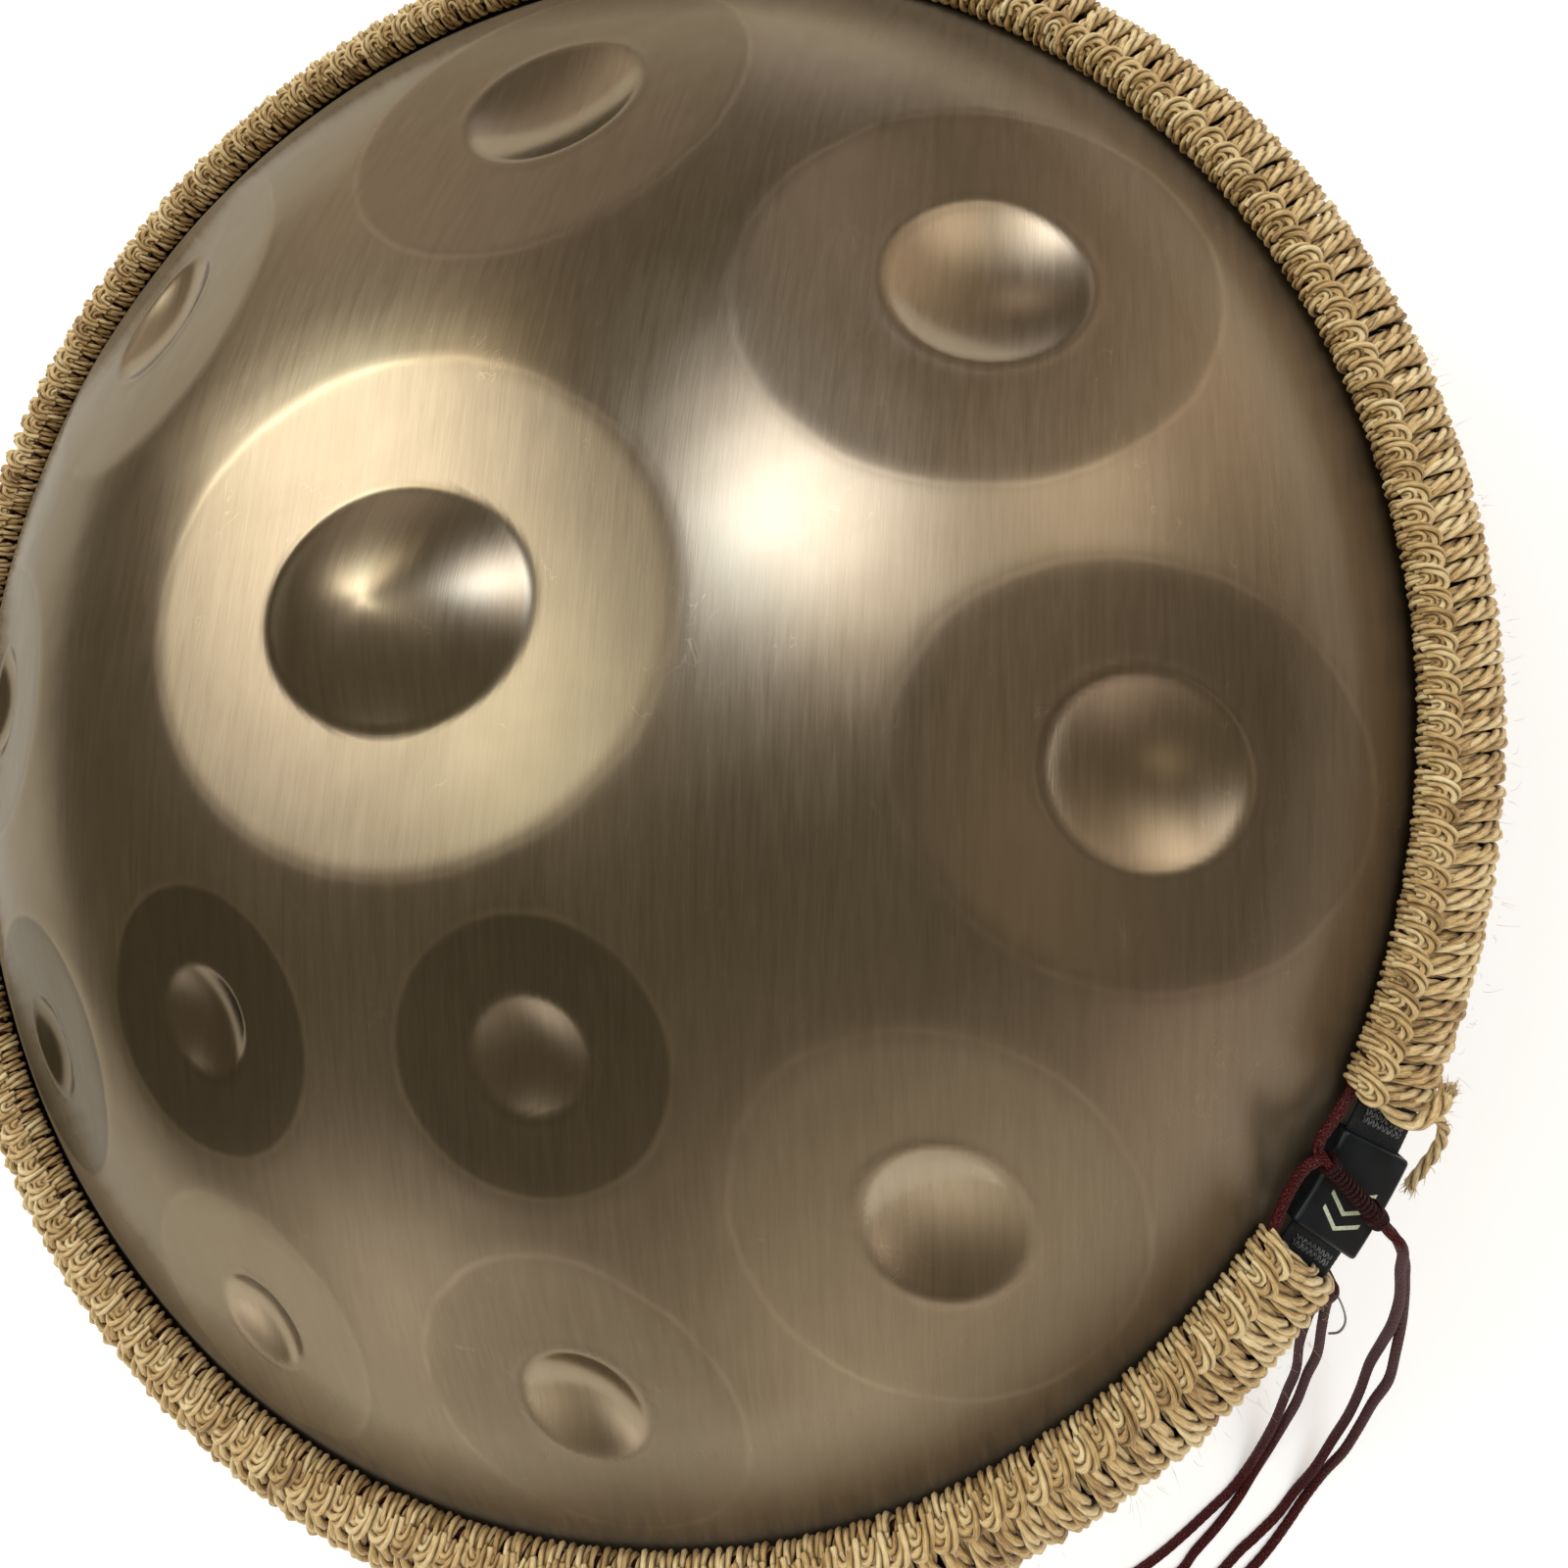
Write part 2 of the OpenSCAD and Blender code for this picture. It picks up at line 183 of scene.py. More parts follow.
class Nodes:
    """Short ways to add nodes to a tree."""

    def __init__(self, tree):
        self.tree = tree

    def node(self, kind, inputs=(), **props):
        n = self.tree.nodes.new("ShaderNode" + kind)
        for key, value in props.items():
            setattr(n, key, value)
        for key, value in dict(inputs).items():
            self.put(n.inputs[key], value)
        return n

    def put(self, socket, value):
        if isinstance(value, bpy.types.NodeSocket):
            self.tree.links.new(value, socket)
        else:
            socket.default_value = value


class Look(Nodes):
    """A procedural material."""

    def __init__(self, name, **shader):
        self.mat = bpy.data.materials.new(name)
        self.mat.use_nodes = True
        super().__init__(self.mat.node_tree)
        self.tree.nodes.clear()
        self.out = self.tree.nodes.new("ShaderNodeOutputMaterial")
        self.bsdf = self.tree.nodes.new("ShaderNodeBsdfPrincipled")
        self.tree.links.new(self.bsdf.outputs[0], self.out.inputs[0])
        for key, value in shader.items():
            self.bsdf.inputs[key.replace("_", " ")].default_value = value

    def coords(self, kind="Object"):
        return self.node("TexCoord").outputs[kind]

    def map(self, vector, scale=(1, 1, 1), turn=(0, 0, 0), move=(0, 0, 0)):
        return self.node("Mapping", {"Vector": vector, "Scale": scale, "Rotation": turn,
                                     "Location": move}).outputs[0]

    def noise(self, vector, scale=1.0, detail=2.0, rough=0.5, warp=0.0):
        return self.node("TexNoise", {"Vector": vector, "Scale": scale, "Detail": detail,
                                      "Roughness": rough, "Distortion": warp}).outputs[0]

    def math(self, op, a, b=0.0, c=0.0, clamp=False):
        return self.node("Math", {0: a, 1: b, 2: c}, operation=op, use_clamp=clamp).outputs[0]

    def mul(self, a, b):
        return self.math("MULTIPLY", a, b)

    def add(self, a, b):
        return self.math("ADD", a, b)

    def span(self, value, low, high, to_low=0.0, to_high=1.0):
        return self.node("MapRange", {"Value": value, 1: low, 2: high, 3: to_low, 4: to_high}).outputs[0]

    def ramp(self, value, *stops):
        n = self.node("ValToRGB", {0: value})
        while len(n.color_ramp.elements) < len(stops):
            n.color_ramp.elements.new(0.5)
        for e, (at, rgb) in zip(n.color_ramp.elements, stops):
            e.position = at
            e.color = (*rgb, 1)
        return n.outputs[0]

    def mix(self, share, a, b, kind="MIX"):
        n = self.node("Mix", {}, data_type="RGBA", blend_type=kind)
        rgba = [v if isinstance(v, bpy.types.NodeSocket) else (*v, 1) for v in (a, b)]
        self.put(n.inputs[0], share)
        self.put(n.inputs[6], rgba[0])
        self.put(n.inputs[7], rgba[1])
        return n.outputs[2]

    def bump(self, height, strength, depth, under=None):
        n = self.node("Bump", {"Height": height, "Strength": strength, "Distance": depth})
        if under is not None:
            self.put(n.inputs["Normal"], under)
        return n.outputs[0]

    def set(self, **links):
        for key, value in links.items():
            self.put(self.bsdf.inputs[key.replace("_", " ")], value)
        return self.mat


BRUSH_TURN = math.radians(-28.7)

# Polar angle and azimuth of each side note, half sizes of its field, and half sizes of its dimple
NOTES = [
    [26.7, 27, 77, 64, 34, 28], [27.5, -27, 73, 60, 31, 26], [29.5, -70.5, 66, 51, 29, 23],
    [30.9, -106.5, 58, 45, 23, 18], [32.2, -138, 52, 41, 20, 15.5], [32.8, -167, 48, 39, 18, 14.5],
    [31.6, 162, 49, 41, 18, 15.5], [30.5, 128, 54, 46, 21, 17.5], [28, 82.5, 74, 60, 29, 25],
    [18.6, -177.5, 37, 36.5, 15.5, 15], [17.2, -128.5, 35, 34.5, 15, 14.5]]
# The centre note in the same form, then the painted reflection of every field's flat, a factor that makes it
# lighter or darker
CENTRE_NOTE = [0, -56, 77, 66, 38, 31]
FIELD_SHADES = [0.9, 0.86, 0.92, 0.98, 0.98, 1.12, 0.5, 0.8, 1.08, 0.64, 0.68, 0.96]
# Dome: rise above the seam, radius of the wall, top of the flange, then the sphere they give
DOME_RISE, WALL = 100.6, 256.5
FLANGE_TOP = 1.4
DOME_H = DOME_RISE - FLANGE_TOP
DOME_R = (WALL ** 2 + DOME_H ** 2) / (2 * DOME_H)
DOME_C = SEAM + DOME_RISE - DOME_R


def note_axes(polar, azimuth):
    p, a = math.radians(polar), math.radians(azimuth)
    n = np.array([math.sin(p) * math.cos(a), math.sin(p) * math.sin(a), math.cos(p)])
    u = np.array([math.cos(p) * math.cos(a), math.cos(p) * math.sin(a), -math.sin(p)])
    return n, u, np.cross(n, u)


def field_marks(look, at, wobble):
    """Distance to the edge of every tone field for a painted highlight line, painted reflection on the
    fields' flats, and share of dimple.
    """
    away, tone, bowl = None, None, None
    shifted = look.node("VectorMath", {0: at, 1: (0, 0, -DOME_C / 1000)}, operation="ADD").outputs[0]
    for (polar, azimuth, a, b, c, e), flat_shade in zip(NOTES + [CENTRE_NOTE], FIELD_SHADES):
        _, u, v = note_axes(polar, azimuth)
        over_a, over_b = (look.node("VectorMath", {0: shifted, 1: tuple(axis * 1000 / half)},
                                    operation="DOT_PRODUCT").outputs["Value"]
                          for axis, half in ((u, a), (v, b)))
        t = look.math("SQRT", look.add(look.mul(over_a, over_a),
                                        look.mul(over_b, over_b)))
        out = look.math("MULTIPLY_ADD", t, math.sqrt(a * b), -math.sqrt(a * b))
        out = look.math("ABSOLUTE", look.add(out, wobble))
        # Each field's flat is painted lighter or darker: painted reflection of the room.
        inside = look.span(t, 0.97, 1.01, flat_shade, 1.0)
        part = (c + e) / (a + b)
        hollow = look.span(t, part * 0.9, part * 1.03, 1.0 if polar else 0.0, 0.0)
        away = out if away is None else look.math("MINIMUM", away, out)
        tone = inside if tone is None else look.mul(tone, inside)
        bowl = hollow if bowl is None else look.math("MAXIMUM", bowl, hollow)
    return away, tone, bowl


def brushed_steel(name, dark, light, edge, rough=0.24, fields=False):
    """Heat-treated steel, brushed one way, with patches, fine scratches and a browner rim band that is
    painted reflection of the jute cover; with fields, also painted highlight lines at the field edges and
    painted reflection on each field and dimple.
    """
    look = Look(name, Metallic=1.0, Anisotropic=0.35, Specular_Tint=(0.52, 0.5, 0.46, 1))
    at = look.coords()
    turned = look.map(at, turn=(0, 0, BRUSH_TURN))
    fine = look.noise(look.map(turned, scale=(110, 2600, 110)), 1.0, 3.0, 0.6)
    broad = look.noise(look.map(turned, scale=(40, 520, 40)), 1.0, 3.0, 0.55)
    patch = look.noise(at, 9.0, 4.0, 0.55, 0.4)
    cloud = look.noise(look.map(at, move=(3, 1, 2)), 26.0, 5.0, 0.6, 0.8)
    split = look.node("SeparateXYZ", {0: at})
    radius = look.math("SQRT", look.add(look.mul(split.outputs[0], split.outputs[0]),
                                         look.mul(split.outputs[1], split.outputs[1])))
    streaks = look.add(look.mul(fine, 0.5), look.mul(broad, 0.5))
    tone = look.add(look.mul(streaks, 0.6), look.mul(patch, 0.45))
    base = look.mix(look.span(tone, 0.36, 0.64), dark, light)
    base = look.mix(look.mul(look.span(cloud, 0.5, 0.75), 0.22), base, edge)
    # Painted reflection: the steel turns browner towards the rim, where it would reflect the jute cover.
    base = look.mix(look.mul(look.span(radius, 0.232, 0.256), 0.3), base, edge)
    lines = look.noise(look.map(turned, scale=(60, 90, 60), move=(0.4, 0.9, 0)), 1.0, 2.0, 0.5, 1.5)
    hair = look.math("SUBTRACT", 1.0, look.mul(look.math("ABSOLUTE", look.math(
        "SUBTRACT", lines, 0.5)), 120.0), clamp=True)
    worn = look.span(look.noise(look.map(at, move=(5, 2, 0)), 45.0, 2.0, 0.5), 0.6, 0.66)
    hair = look.mul(hair, worn)
    base = look.mix(look.mul(hair, 0.3), base, (0.5, 0.43, 0.33))
    r = look.add(look.mul(streaks, 0.14), rough - 0.1)
    r = look.add(r, look.mul(look.span(cloud, 0.3, 0.8), 0.05))
    r = look.add(r, look.span(radius, 0.215, 0.248, 0.0, 0.34))
    if fields:
        wobble = look.mul(look.math("SUBTRACT", look.noise(at, 55.0, 2.0, 0.5), 0.5), 3.2)
        away, flat_shade, bowl = field_marks(look, at, wobble)
        # Painted highlight: a light line along each field edge, where the crease would catch the light,
        # broken up by noise.
        broken = look.span(look.noise(look.map(at, move=(1, 7, 0)), 40.0, 3.0, 0.6), 0.3, 0.62)
        line = look.mul(look.span(away, 0.25, 1.5, 0.42, 0.0), broken)
        base = look.mix(line, base, (0.4, 0.33, 0.245))
        # Painted reflection: each field's factor, with the dimples painted 30% lighter.
        shade = look.mul(flat_shade, look.math("MULTIPLY_ADD", bowl, 0.3, 1.0))
        shade = look.node("CombineXYZ", {0: shade, 1: shade, 2: shade}).outputs[0]
        base = look.mix(1.0, base, shade, "MULTIPLY")
        r = look.math("MULTIPLY_ADD", bowl, -0.05, r)
    grain = look.bump(fine, 0.2, 0.00004)
    grain = look.bump(broad, 0.08, 0.00006, grain)
    tangent = look.node("Tangent", direction_type="UV_MAP", uv_map="uv").outputs[0]
    return look.set(Base_Color=base, Roughness=r, Normal=grain, Tangent=tangent)


def jute_look(name, dark, mid, pale):
    """Plant fibre: streaks along each ply, painted shade between the plies, loose tone changes and a dry
    sheen.
    """
    look = Look(name, Roughness=0.66, Specular_IOR_Level=0.4, Sheen_Weight=0.12, Sheen_Roughness=0.5)
    uv = look.coords("UV")
    lay = look.node("SeparateXYZ", {0: look.node("Attribute", attribute_name="lay").outputs["Vector"]})
    fibre = look.noise(look.map(uv, scale=(0.3, 11.0, 1)), 1.0, 4.0, 0.65, 0.3)
    fine = look.noise(look.map(uv, scale=(0.8, 34.0, 1), move=(7, 3, 0)), 1.0, 2.0, 0.6)
    patch = look.noise(look.coords(), 110.0, 3.0, 0.6)
    tone = look.add(look.mul(fibre, 0.8), look.mul(patch, 0.3))
    tone = look.add(tone, look.mul(lay.outputs[1], 0.09))
    base = look.ramp(look.add(tone, look.mul(fine, 0.18)), (0.46, dark), (0.6, mid), (0.8, pale))
    # Painted shade: the sides of each ply that face the twine's middle, between the plies, are darkened and
    # warmed.
    high = look.span(lay.outputs[0], 0.52, 0.93, 0.26, 1.0)
    groove_shade = {0: high, 1: look.math("POWER", high, 1.15), 2: look.math("POWER", high, 1.5)}
    base = look.mix(1.0, base, look.node("CombineXYZ", groove_shade).outputs[0], "MULTIPLY")
    grain = look.bump(look.add(fibre, look.mul(fine, 0.6)), 0.9, 0.0003)
    return look.set(Base_Color=base, Normal=grain)


def braid_look(name, dark, mid, glint, per_turn=8.0, per_mm=0.55):
    """Fine braided polyester: crossing carriers in colour and bump, with painted glints as brighter flecks.
    """
    look = Look(name, Roughness=0.6, Specular_IOR_Level=0.15)
    uv = look.coords("UV")
    split = look.node("SeparateXYZ", {0: uv})
    along = look.mul(split.outputs[0], per_mm * 2 * math.pi)
    round_ = look.mul(split.outputs[1], per_turn * 2 * math.pi)
    one = look.math("SINE", look.add(along, round_))
    two = look.math("SINE", look.math("SUBTRACT", along, round_))
    weave = look.span(look.math("MAXIMUM", one, two), -0.4, 1.0)
    glint_fleck = look.noise(look.map(uv, scale=(2.2, 22, 1)), 1.0, 2.0, 0.6)
    base = look.mix(weave, dark, mid)
    # Painted highlight: brighter flecks in the glint colour.
    base = look.mix(look.mul(look.span(glint_fleck, 0.58, 0.7), 0.8), base, glint)
    return look.set(Base_Color=base, Normal=look.bump(look.add(weave, glint_fleck), 0.6, 0.0002))


def cloth_black(name, base_rgb=(0.004, 0.005, 0.006), pale=(0.022, 0.024, 0.028), rough=0.6):
    """Black woven webbing or thread."""
    look = Look(name, Roughness=rough, Specular_IOR_Level=0.2)
    at = look.coords()
    a = look.noise(at, 2600.0, 2.0, 0.6)
    b = look.noise(at, 260.0, 3.0, 0.6)
    base = look.mix(look.span(look.add(look.mul(a, 0.6), look.mul(b, 0.4)),
                              0.4, 0.7), base_rgb, pale)
    return look.set(Base_Color=base, Normal=look.bump(a, 0.5, 0.00015))


def rubber_look(name):
    look = Look(name, Roughness=0.38, Specular_IOR_Level=0.25)
    at = look.coords()
    speck = look.noise(at, 1800.0, 3.0, 0.6)
    soft = look.noise(at, 150.0, 3.0, 0.5)
    base = look.mix(look.span(soft, 0.35, 0.7), (0.002, 0.004, 0.006), (0.007, 0.01, 0.015))
    r = look.add(look.mul(soft, 0.18), look.mul(speck, 0.14))
    return look.set(Base_Color=base, Roughness=look.add(r, 0.2),
                    Normal=look.bump(speck, 0.25, 0.00005))


def ink_look(name):
    look = Look(name, Roughness=0.5)
    n = look.noise(look.coords(), 1500.0, 3.0, 0.6)
    return look.set(Base_Color=look.mix(look.span(n, 0.35, 0.65), (0.5, 0.55, 0.4), (0.68, 0.72, 0.56)))


def glue_look(name):
    look = Look(name, Roughness=0.5)
    n = look.noise(look.coords(), 300.0, 3.0, 0.6)
    return look.set(Base_Color=look.mix(n, (0.03, 0.025, 0.02), (0.07, 0.06, 0.05)),
                    Normal=look.bump(n, 0.4, 0.0002))


# The third colour of each steel is for random patches and for the painted reflection of the jute cover at
# the rim.
STEEL_TOP = brushed_steel("steel_top", (0.23, 0.186, 0.13), (0.298, 0.246, 0.18),
                          (0.24, 0.184, 0.122), fields=True)
STEEL_BOTTOM = brushed_steel("steel_bottom", (0.17, 0.12, 0.07), (0.24, 0.18, 0.12),
                             (0.13, 0.08, 0.04), 0.4)
JUTE = jute_look("jute", (0.3, 0.18, 0.07), (0.68, 0.465, 0.2), (0.98, 0.82, 0.5))
# The third colour of each braid is painted glint.
CORD_LOOK = braid_look("maroon_braid", (0.016, 0.0015, 0.002), (0.058, 0.006, 0.007), (0.4, 0.1, 0.09))
WHIP_LOOK = braid_look("whipping", (0.005, 0.001, 0.001), (0.022, 0.003, 0.004),
                       (0.2, 0.05, 0.05), 3.0, 1.2)
WEBBING = cloth_black("webbing")
# The pale colour of the black thread is painted glint.
THREAD_BLACK = cloth_black("black_thread", (0.006, 0.006, 0.008), (0.26, 0.27, 0.28), 0.35)
RUBBER = rubber_look("sleeve_rubber")
INK = ink_look("cream_ink")
GLUE = glue_look("seam_glue")
THREAD_GREY = cloth_black("grey_thread", (0.12, 0.12, 0.12), (0.3, 0.3, 0.3), 0.4)


# --- camera

def make_camera():
    data = bpy.data.cameras.new("camera")
    data.sensor_width = 36.0
    data.lens = 23.625
    data.shift_y = -0.16875
    data.clip_start = 0.01
    ob = bpy.data.objects.new("camera", data)
    bpy.context.scene.collection.objects.link(ob)
    right, down = Vector((0.51016, -0.81452, -0.27621)), Vector((-0.85939, -0.46989, -0.20163))
    ahead = Vector((0.03445, 0.34024, -0.93971))
    place = Matrix((right, -down, -ahead)).transposed().to_4x4()
    place.translation = Vector((0.06081, -0.15934, 0.43669))
    ob.matrix_world = place
    bpy.context.scene.camera = ob


make_camera()


# --- cords

# Sliding knots: half the gap between their cords, straight run past them and lead before them
KNOT_GAP = 1.75
KNOT_RUN = 6.4
KNOT_LEAD = 1.4
UPPER_A, UPPER_B = np.array([2.9, -254.1, 15.8]), np.array([-2.7, -271.3, 11])
LOWER_A, LOWER_B = np.array([-17, -263.4, -19.6]), np.array([-27.5, -276.6, -21.8])


def through(a, b, side, lead=0.0):
    """Points of a cord on one side of a sliding knot, from a lead before it to a run past it."""
    ahead = unit(b - a)
    lift = unit(np.cross(np.cross(ahead, [0, 0, 1]), ahead)) * KNOT_GAP * side
    points = [a - ahead * lead + lift] if lead else []
    return points + [a + lift, b + lift, b + ahead * KNOT_RUN + lift]


ROUTES = {
    "upper_cord_right": [
        [20.2, -254.2, 9], [14, -253.8, 9.6], [9, -253.1, 11], [6.4, -252.4, 12.4],
        *through(UPPER_A, UPPER_B, -1, KNOT_LEAD), [-10.8, -285.9, -6.3],
        [-16, -290.9, -14.8], [-21.9, -296.2, -23.7], [-31.7, -304.1, -37.4],
        [-43.3, -311.8, -50.9], [-55, -319.3, -65], [-67.6, -324.6, -79.3],
        [-80.2, -329.7, -91.8], [-93.4, -333.8, -102.8], [-106.1, -335.9, -112.3],
        [-119, -336.7, -117.4], [-129.3, -336.1, -117.7], [-140.1, -335, -117.7],
        [-151.5, -333, -117.7], [-184, -326.6, -117.7], [-212, -323.6, -117.7]],
    "upper_cord_left": [
        [-20.8, -254, 9], [-14, -253, 10.2], [-7.6, -252, 12.6], [-2.6, -251.3, 15.8],
        [0.4, -251.6, 17.2], *through(UPPER_A, UPPER_B, 1, KNOT_LEAD), [-13.5, -285.8, -4.7],
        [-18.7, -290.7, -13.2], [-24.5, -295.6, -22.3], [-34, -302.3, -36.6],
        [-43.8, -308.5, -52.1], [-55.3, -314.4, -67], [-67.7, -321, -80.7],
        [-80.1, -326.5, -93.2], [-93.1, -330.5, -104.2], [-106.8, -333, -111.7],
        [-118.9, -333.7, -117.4], [-128.9, -332.7, -117.7], [-139.3, -330.4, -117.7],
        [-150.4, -327.8, -117.7], [-184, -322.6, -117.7], [-212, -320.8, -117.7]],
    "lower_cord_right": [
        [20.2, -254.2, -9], [12, -255.4, -12.4], [3, -256.4, -17], [-6, -257.4, -20],
        [-12.6, -259.2, -21.2], *through(LOWER_A, LOWER_B, -1), [-40.2, -286.5, -34.1],
        [-47.7, -291.2, -43], [-58.9, -298.7, -57.8], [-70.8, -304.6, -72.7],
        [-83.8, -310.7, -86.5], [-96.3, -315.6, -99.8], [-109.3, -319.2, -110.1],
        [-122.2, -321.4, -117.3], [-133.1, -321.2, -117.7], [-144.4, -320, -117.7],
        [-155.9, -318, -117.7], [-167.8, -316.1, -117.7], [-190, -305.6, -117.7],
        [-212, -299.6, -117.7]],
    "lower_cord_left": [
        [-20.8, -254, -9], [-15.2, -254.8, -11.6], [-12, -257.6, -14.8], [-13.2, -260.4, -17],
        *through(LOWER_A, LOWER_B, 1), [-41.8, -284, -33.9],
        [-48.5, -287.6, -44], [-59.9, -294.2, -59.2], [-71.7, -301.8, -73.3],
        [-84.1, -307.7, -87.5], [-97.7, -313, -99.2], [-110.6, -316.7, -108.9],
        [-122.9, -318.8, -115.9], [-132.8, -318.3, -117.7], [-143.5, -315.7, -117.7],
        [-154.8, -312.8, -117.7], [-166.3, -309.4, -117.7], [-190, -301.2, -117.7],
        [-212, -296.8, -117.7]],
}
TAIL_LONG = [[22.4, -258, 11.4], [21.2, -261.5, 10.4], [20.2, -265.4, 8.6], [20.6, -268.9, 6.8],
             [23.5, -271.4, 5], [27.2, -272.5, 5.4], [30.4, -272.4, 6.6], [32.6, -271.9, 8]]
TAIL_SHORT = [[24.2, -271.2, 5.4], [24.6, -274.8, 2], [22.8, -278.4, -2.4], [18.8, -280.8, -6.4],
              [13.4, -281.9, -10], [8.4, -282.4, -13], [3.9, -282.9, -15.5]]
LOOP = [[-32.9, -280.3, -26], [-33.2, -282.8, -27], [-35, -287, -31], [-39, -292, -37],
        [-42.8, -295.1, -42], [-46.8, -296.3, -46], [-49.4, -295.2, -48]]


def raised(points):
    """Points given from the seam plane, in the frame's own height."""
    return np.asarray(points, float) + [0, 0, SEAM]


def braided(line, dia, sides=20):
    """Tube whose surface is two sets of crossing carriers."""
    run = run_length(line[None])[0][:, None]
    a = 2 * math.pi * np.arange(sides)[None] / sides
    one = np.sin(4 * a + 2 * math.pi * run / 3.2)
    two = np.sin(4 * a - 2 * math.pi * run / 3.2)
    radius = dia / 2 * (0.95 + 0.05 * np.maximum(one, two))
    return tubes(line[None], radius[None], sides)


for name, route in ROUTES.items():
    line = smooth_line(raised(route), 0.5)
    piece = make_piece(name.replace("cord", "lace"), *braided(line, CORD), CORD_LOOK)
    settle(piece, "pan", name)


def whipping(name, a, b, body, node):
    """Thread wound round the two cords, with a thicker binding at the far end."""
    ahead = unit(b - a)
    up = unit(np.cross(np.cross(ahead, [0, 0, 1]), ahead))
    across = np.cross(ahead, up)
    length = np.linalg.norm(b - a)
    sets = []

    def coil(start, end, turns, wide, high, thread, wave=0.0):
        n = int(turns * 40)
        t = np.linspace(0, 1, n)
        ang = 2 * math.pi * turns * t
        c, s = np.cos(ang), np.sin(ang)
        y = wide * np.sign(c) * np.abs(c) ** 0.8
        z = high * np.sign(s) * np.abs(s) ** 0.8
        x = start + (end - start) * t + wave * np.sin(ang * 2)
        line = raised(a) + ahead * x[:, None] + across * y[:, None] + up * z[:, None]
        sets.append(tubes(line[None], thread / 2, 8))

    coil(0.4, length - 0.4, 15, CORD / 2 + 0.45, KNOT_GAP + CORD / 2 + 0.35, 1.0, 0.1)
    coil(length - 3.2, length - 0.6, 3, CORD / 2 + 1.05, KNOT_GAP + CORD / 2 + 0.55, 1.05)
    coil(0.5, 2.4, 2, CORD / 2 + 0.95, KNOT_GAP + CORD / 2 + 0.5, 0.95)
    piece = make_piece(name, *join_sets(sets), WHIP_LOOK)
    return settle(piece, body, node)


upper_whip = whipping("upper_slider_whipping", UPPER_A, UPPER_B, "upper_slider", "slider_knot_upper")
lower_whip = whipping("lower_slider_whipping", LOWER_A, LOWER_B, "lower_slider", "slider_knot_lower")


def end_knot(name, node):
    """Overhand knot tied in a pair of cords, with two short cut tails."""
    low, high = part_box(node)
    low, high = np.array(low) * 1000, np.array(high) * 1000
    mid = (low + high) / 2
    t = np.linspace(0, 2 * math.pi, 160)
    ring = np.stack([np.sin(t) + 1.9 * np.sin(2 * t), np.cos(t) - 1.9 * np.cos(2 * t),
                     -0.9 * np.sin(3 * t)], 1) * [1.12, 1.05, 1.5]
    sets = [braided(mid + ring[:, [2, 0, 1]] * np.array([1.35, 1.0, 1.0]) + shift, CORD * 0.8, 14)
            for shift in ([0.0, 0.35, 0.0], [-0.9, -0.35, 0.3])]
    for k, side in enumerate((-1.3, 1.3)):
        tail = smooth_line([mid + [-1, side * 0.6, 0], mid + [-4.5, side, -1.4],
                            mid + [-8.5, side * 1.5, -3.0]], 0.5)
        sets.append(braided(tail, CORD * 0.85, 14))
    piece = make_piece(name, *join_sets(sets), CORD_LOOK)
    return settle(piece, "pan", node)


upper_end = end_knot("upper_end_knot", "end_knot_upper")
lower_end = end_knot("lower_end_knot", "end_knot_lower")

loop_line = smooth_line(raised(LOOP), 0.4)
loop = make_piece("grey_thread_loop", *tubes(loop_line[None], 0.3, 8), THREAD_GREY)
settle(loop, "pan", "thread_loop")


# --- shells

SHEET = 1.2
BOND_HALF = 0.2
BOWL_DEPTH = 119.4
CENTRE_HEIGHT = 12.0
DIMPLE_SHARE = 0.21


def soft_min(a, b, k):
    h = np.clip(k - np.abs(a - b), 0, None) / k
    return np.minimum(a, b) - h * h * k / 4


def reach(cn, g, h):
    """Distance from the sphere centre to the surface n = h - g * distance^2."""
    inside = cn * cn + 4 * g * h
    return np.where((inside > 0) & (cn > 0.5), 2 * h / (cn + np.sqrt(np.maximum(inside, 1e-9))), 1e6)


WAVES = [(rng.normal(size=3) * s, rng.uniform(0, 6.28), a)
         for s, a, n in ((0.03, 0.03, 8), (0.075, 0.014, 12), (0.15, 0.005, 12)) for _ in range(n)]


def top_radius(d):
    """Distance of the upper shell's outer face from the dome centre along unit vectors d."""
    r = np.full(len(d), DOME_R)
    for polar, azimuth, a, b, c, e in NOTES + [CENTRE_NOTE]:
        n, u, v = note_axes(polar, azimuth)
        cn, cu, cv = d @ n, d @ u, d @ v
        drop = b * b / (2 * DOME_R)
        bend = max((1 - (b / a) ** 2) / DOME_R, 0.00004)
        r = soft_min(r, reach(cn, cu * cu * bend / 2, DOME_R - drop), 0.55)
        if polar:
            deep = DIMPLE_SHARE * (c + e) / 2
            r1, r2 = (c * c + deep ** 2) / (2 * deep), (e * e + deep ** 2) / (2 * deep)
            lens = reach(cn, -(cu * cu / (2 * r1) + cv * cv / (2 * r2)), DOME_R - drop - deep)
            edge = np.sqrt((cu * r / c) ** 2 + (cv * r / e) ** 2)
            lip = 0.22 * np.exp(-((edge - 1.04) / 0.07) ** 2)
            r = soft_min(r + np.where(cn > 0.9, lip, 0), lens, 0.5)
        else:
            t = np.sqrt((cu * r / c) ** 2 + (cv * r / e) ** 2)
            soft = np.sqrt(t * t + 0.006)
            bump = CENTRE_HEIGHT * (0.5 * (1 - soft) + 0.5 * (1 - t * t))
            r = -soft_min(-r, -(DOME_R - drop + bump) / np.maximum(cn, 0.5), 0.45)
    p = d * DOME_R
    for k, phase, amp in WAVES:
        r = r + amp * np.sin(p @ k + phase)
    return r


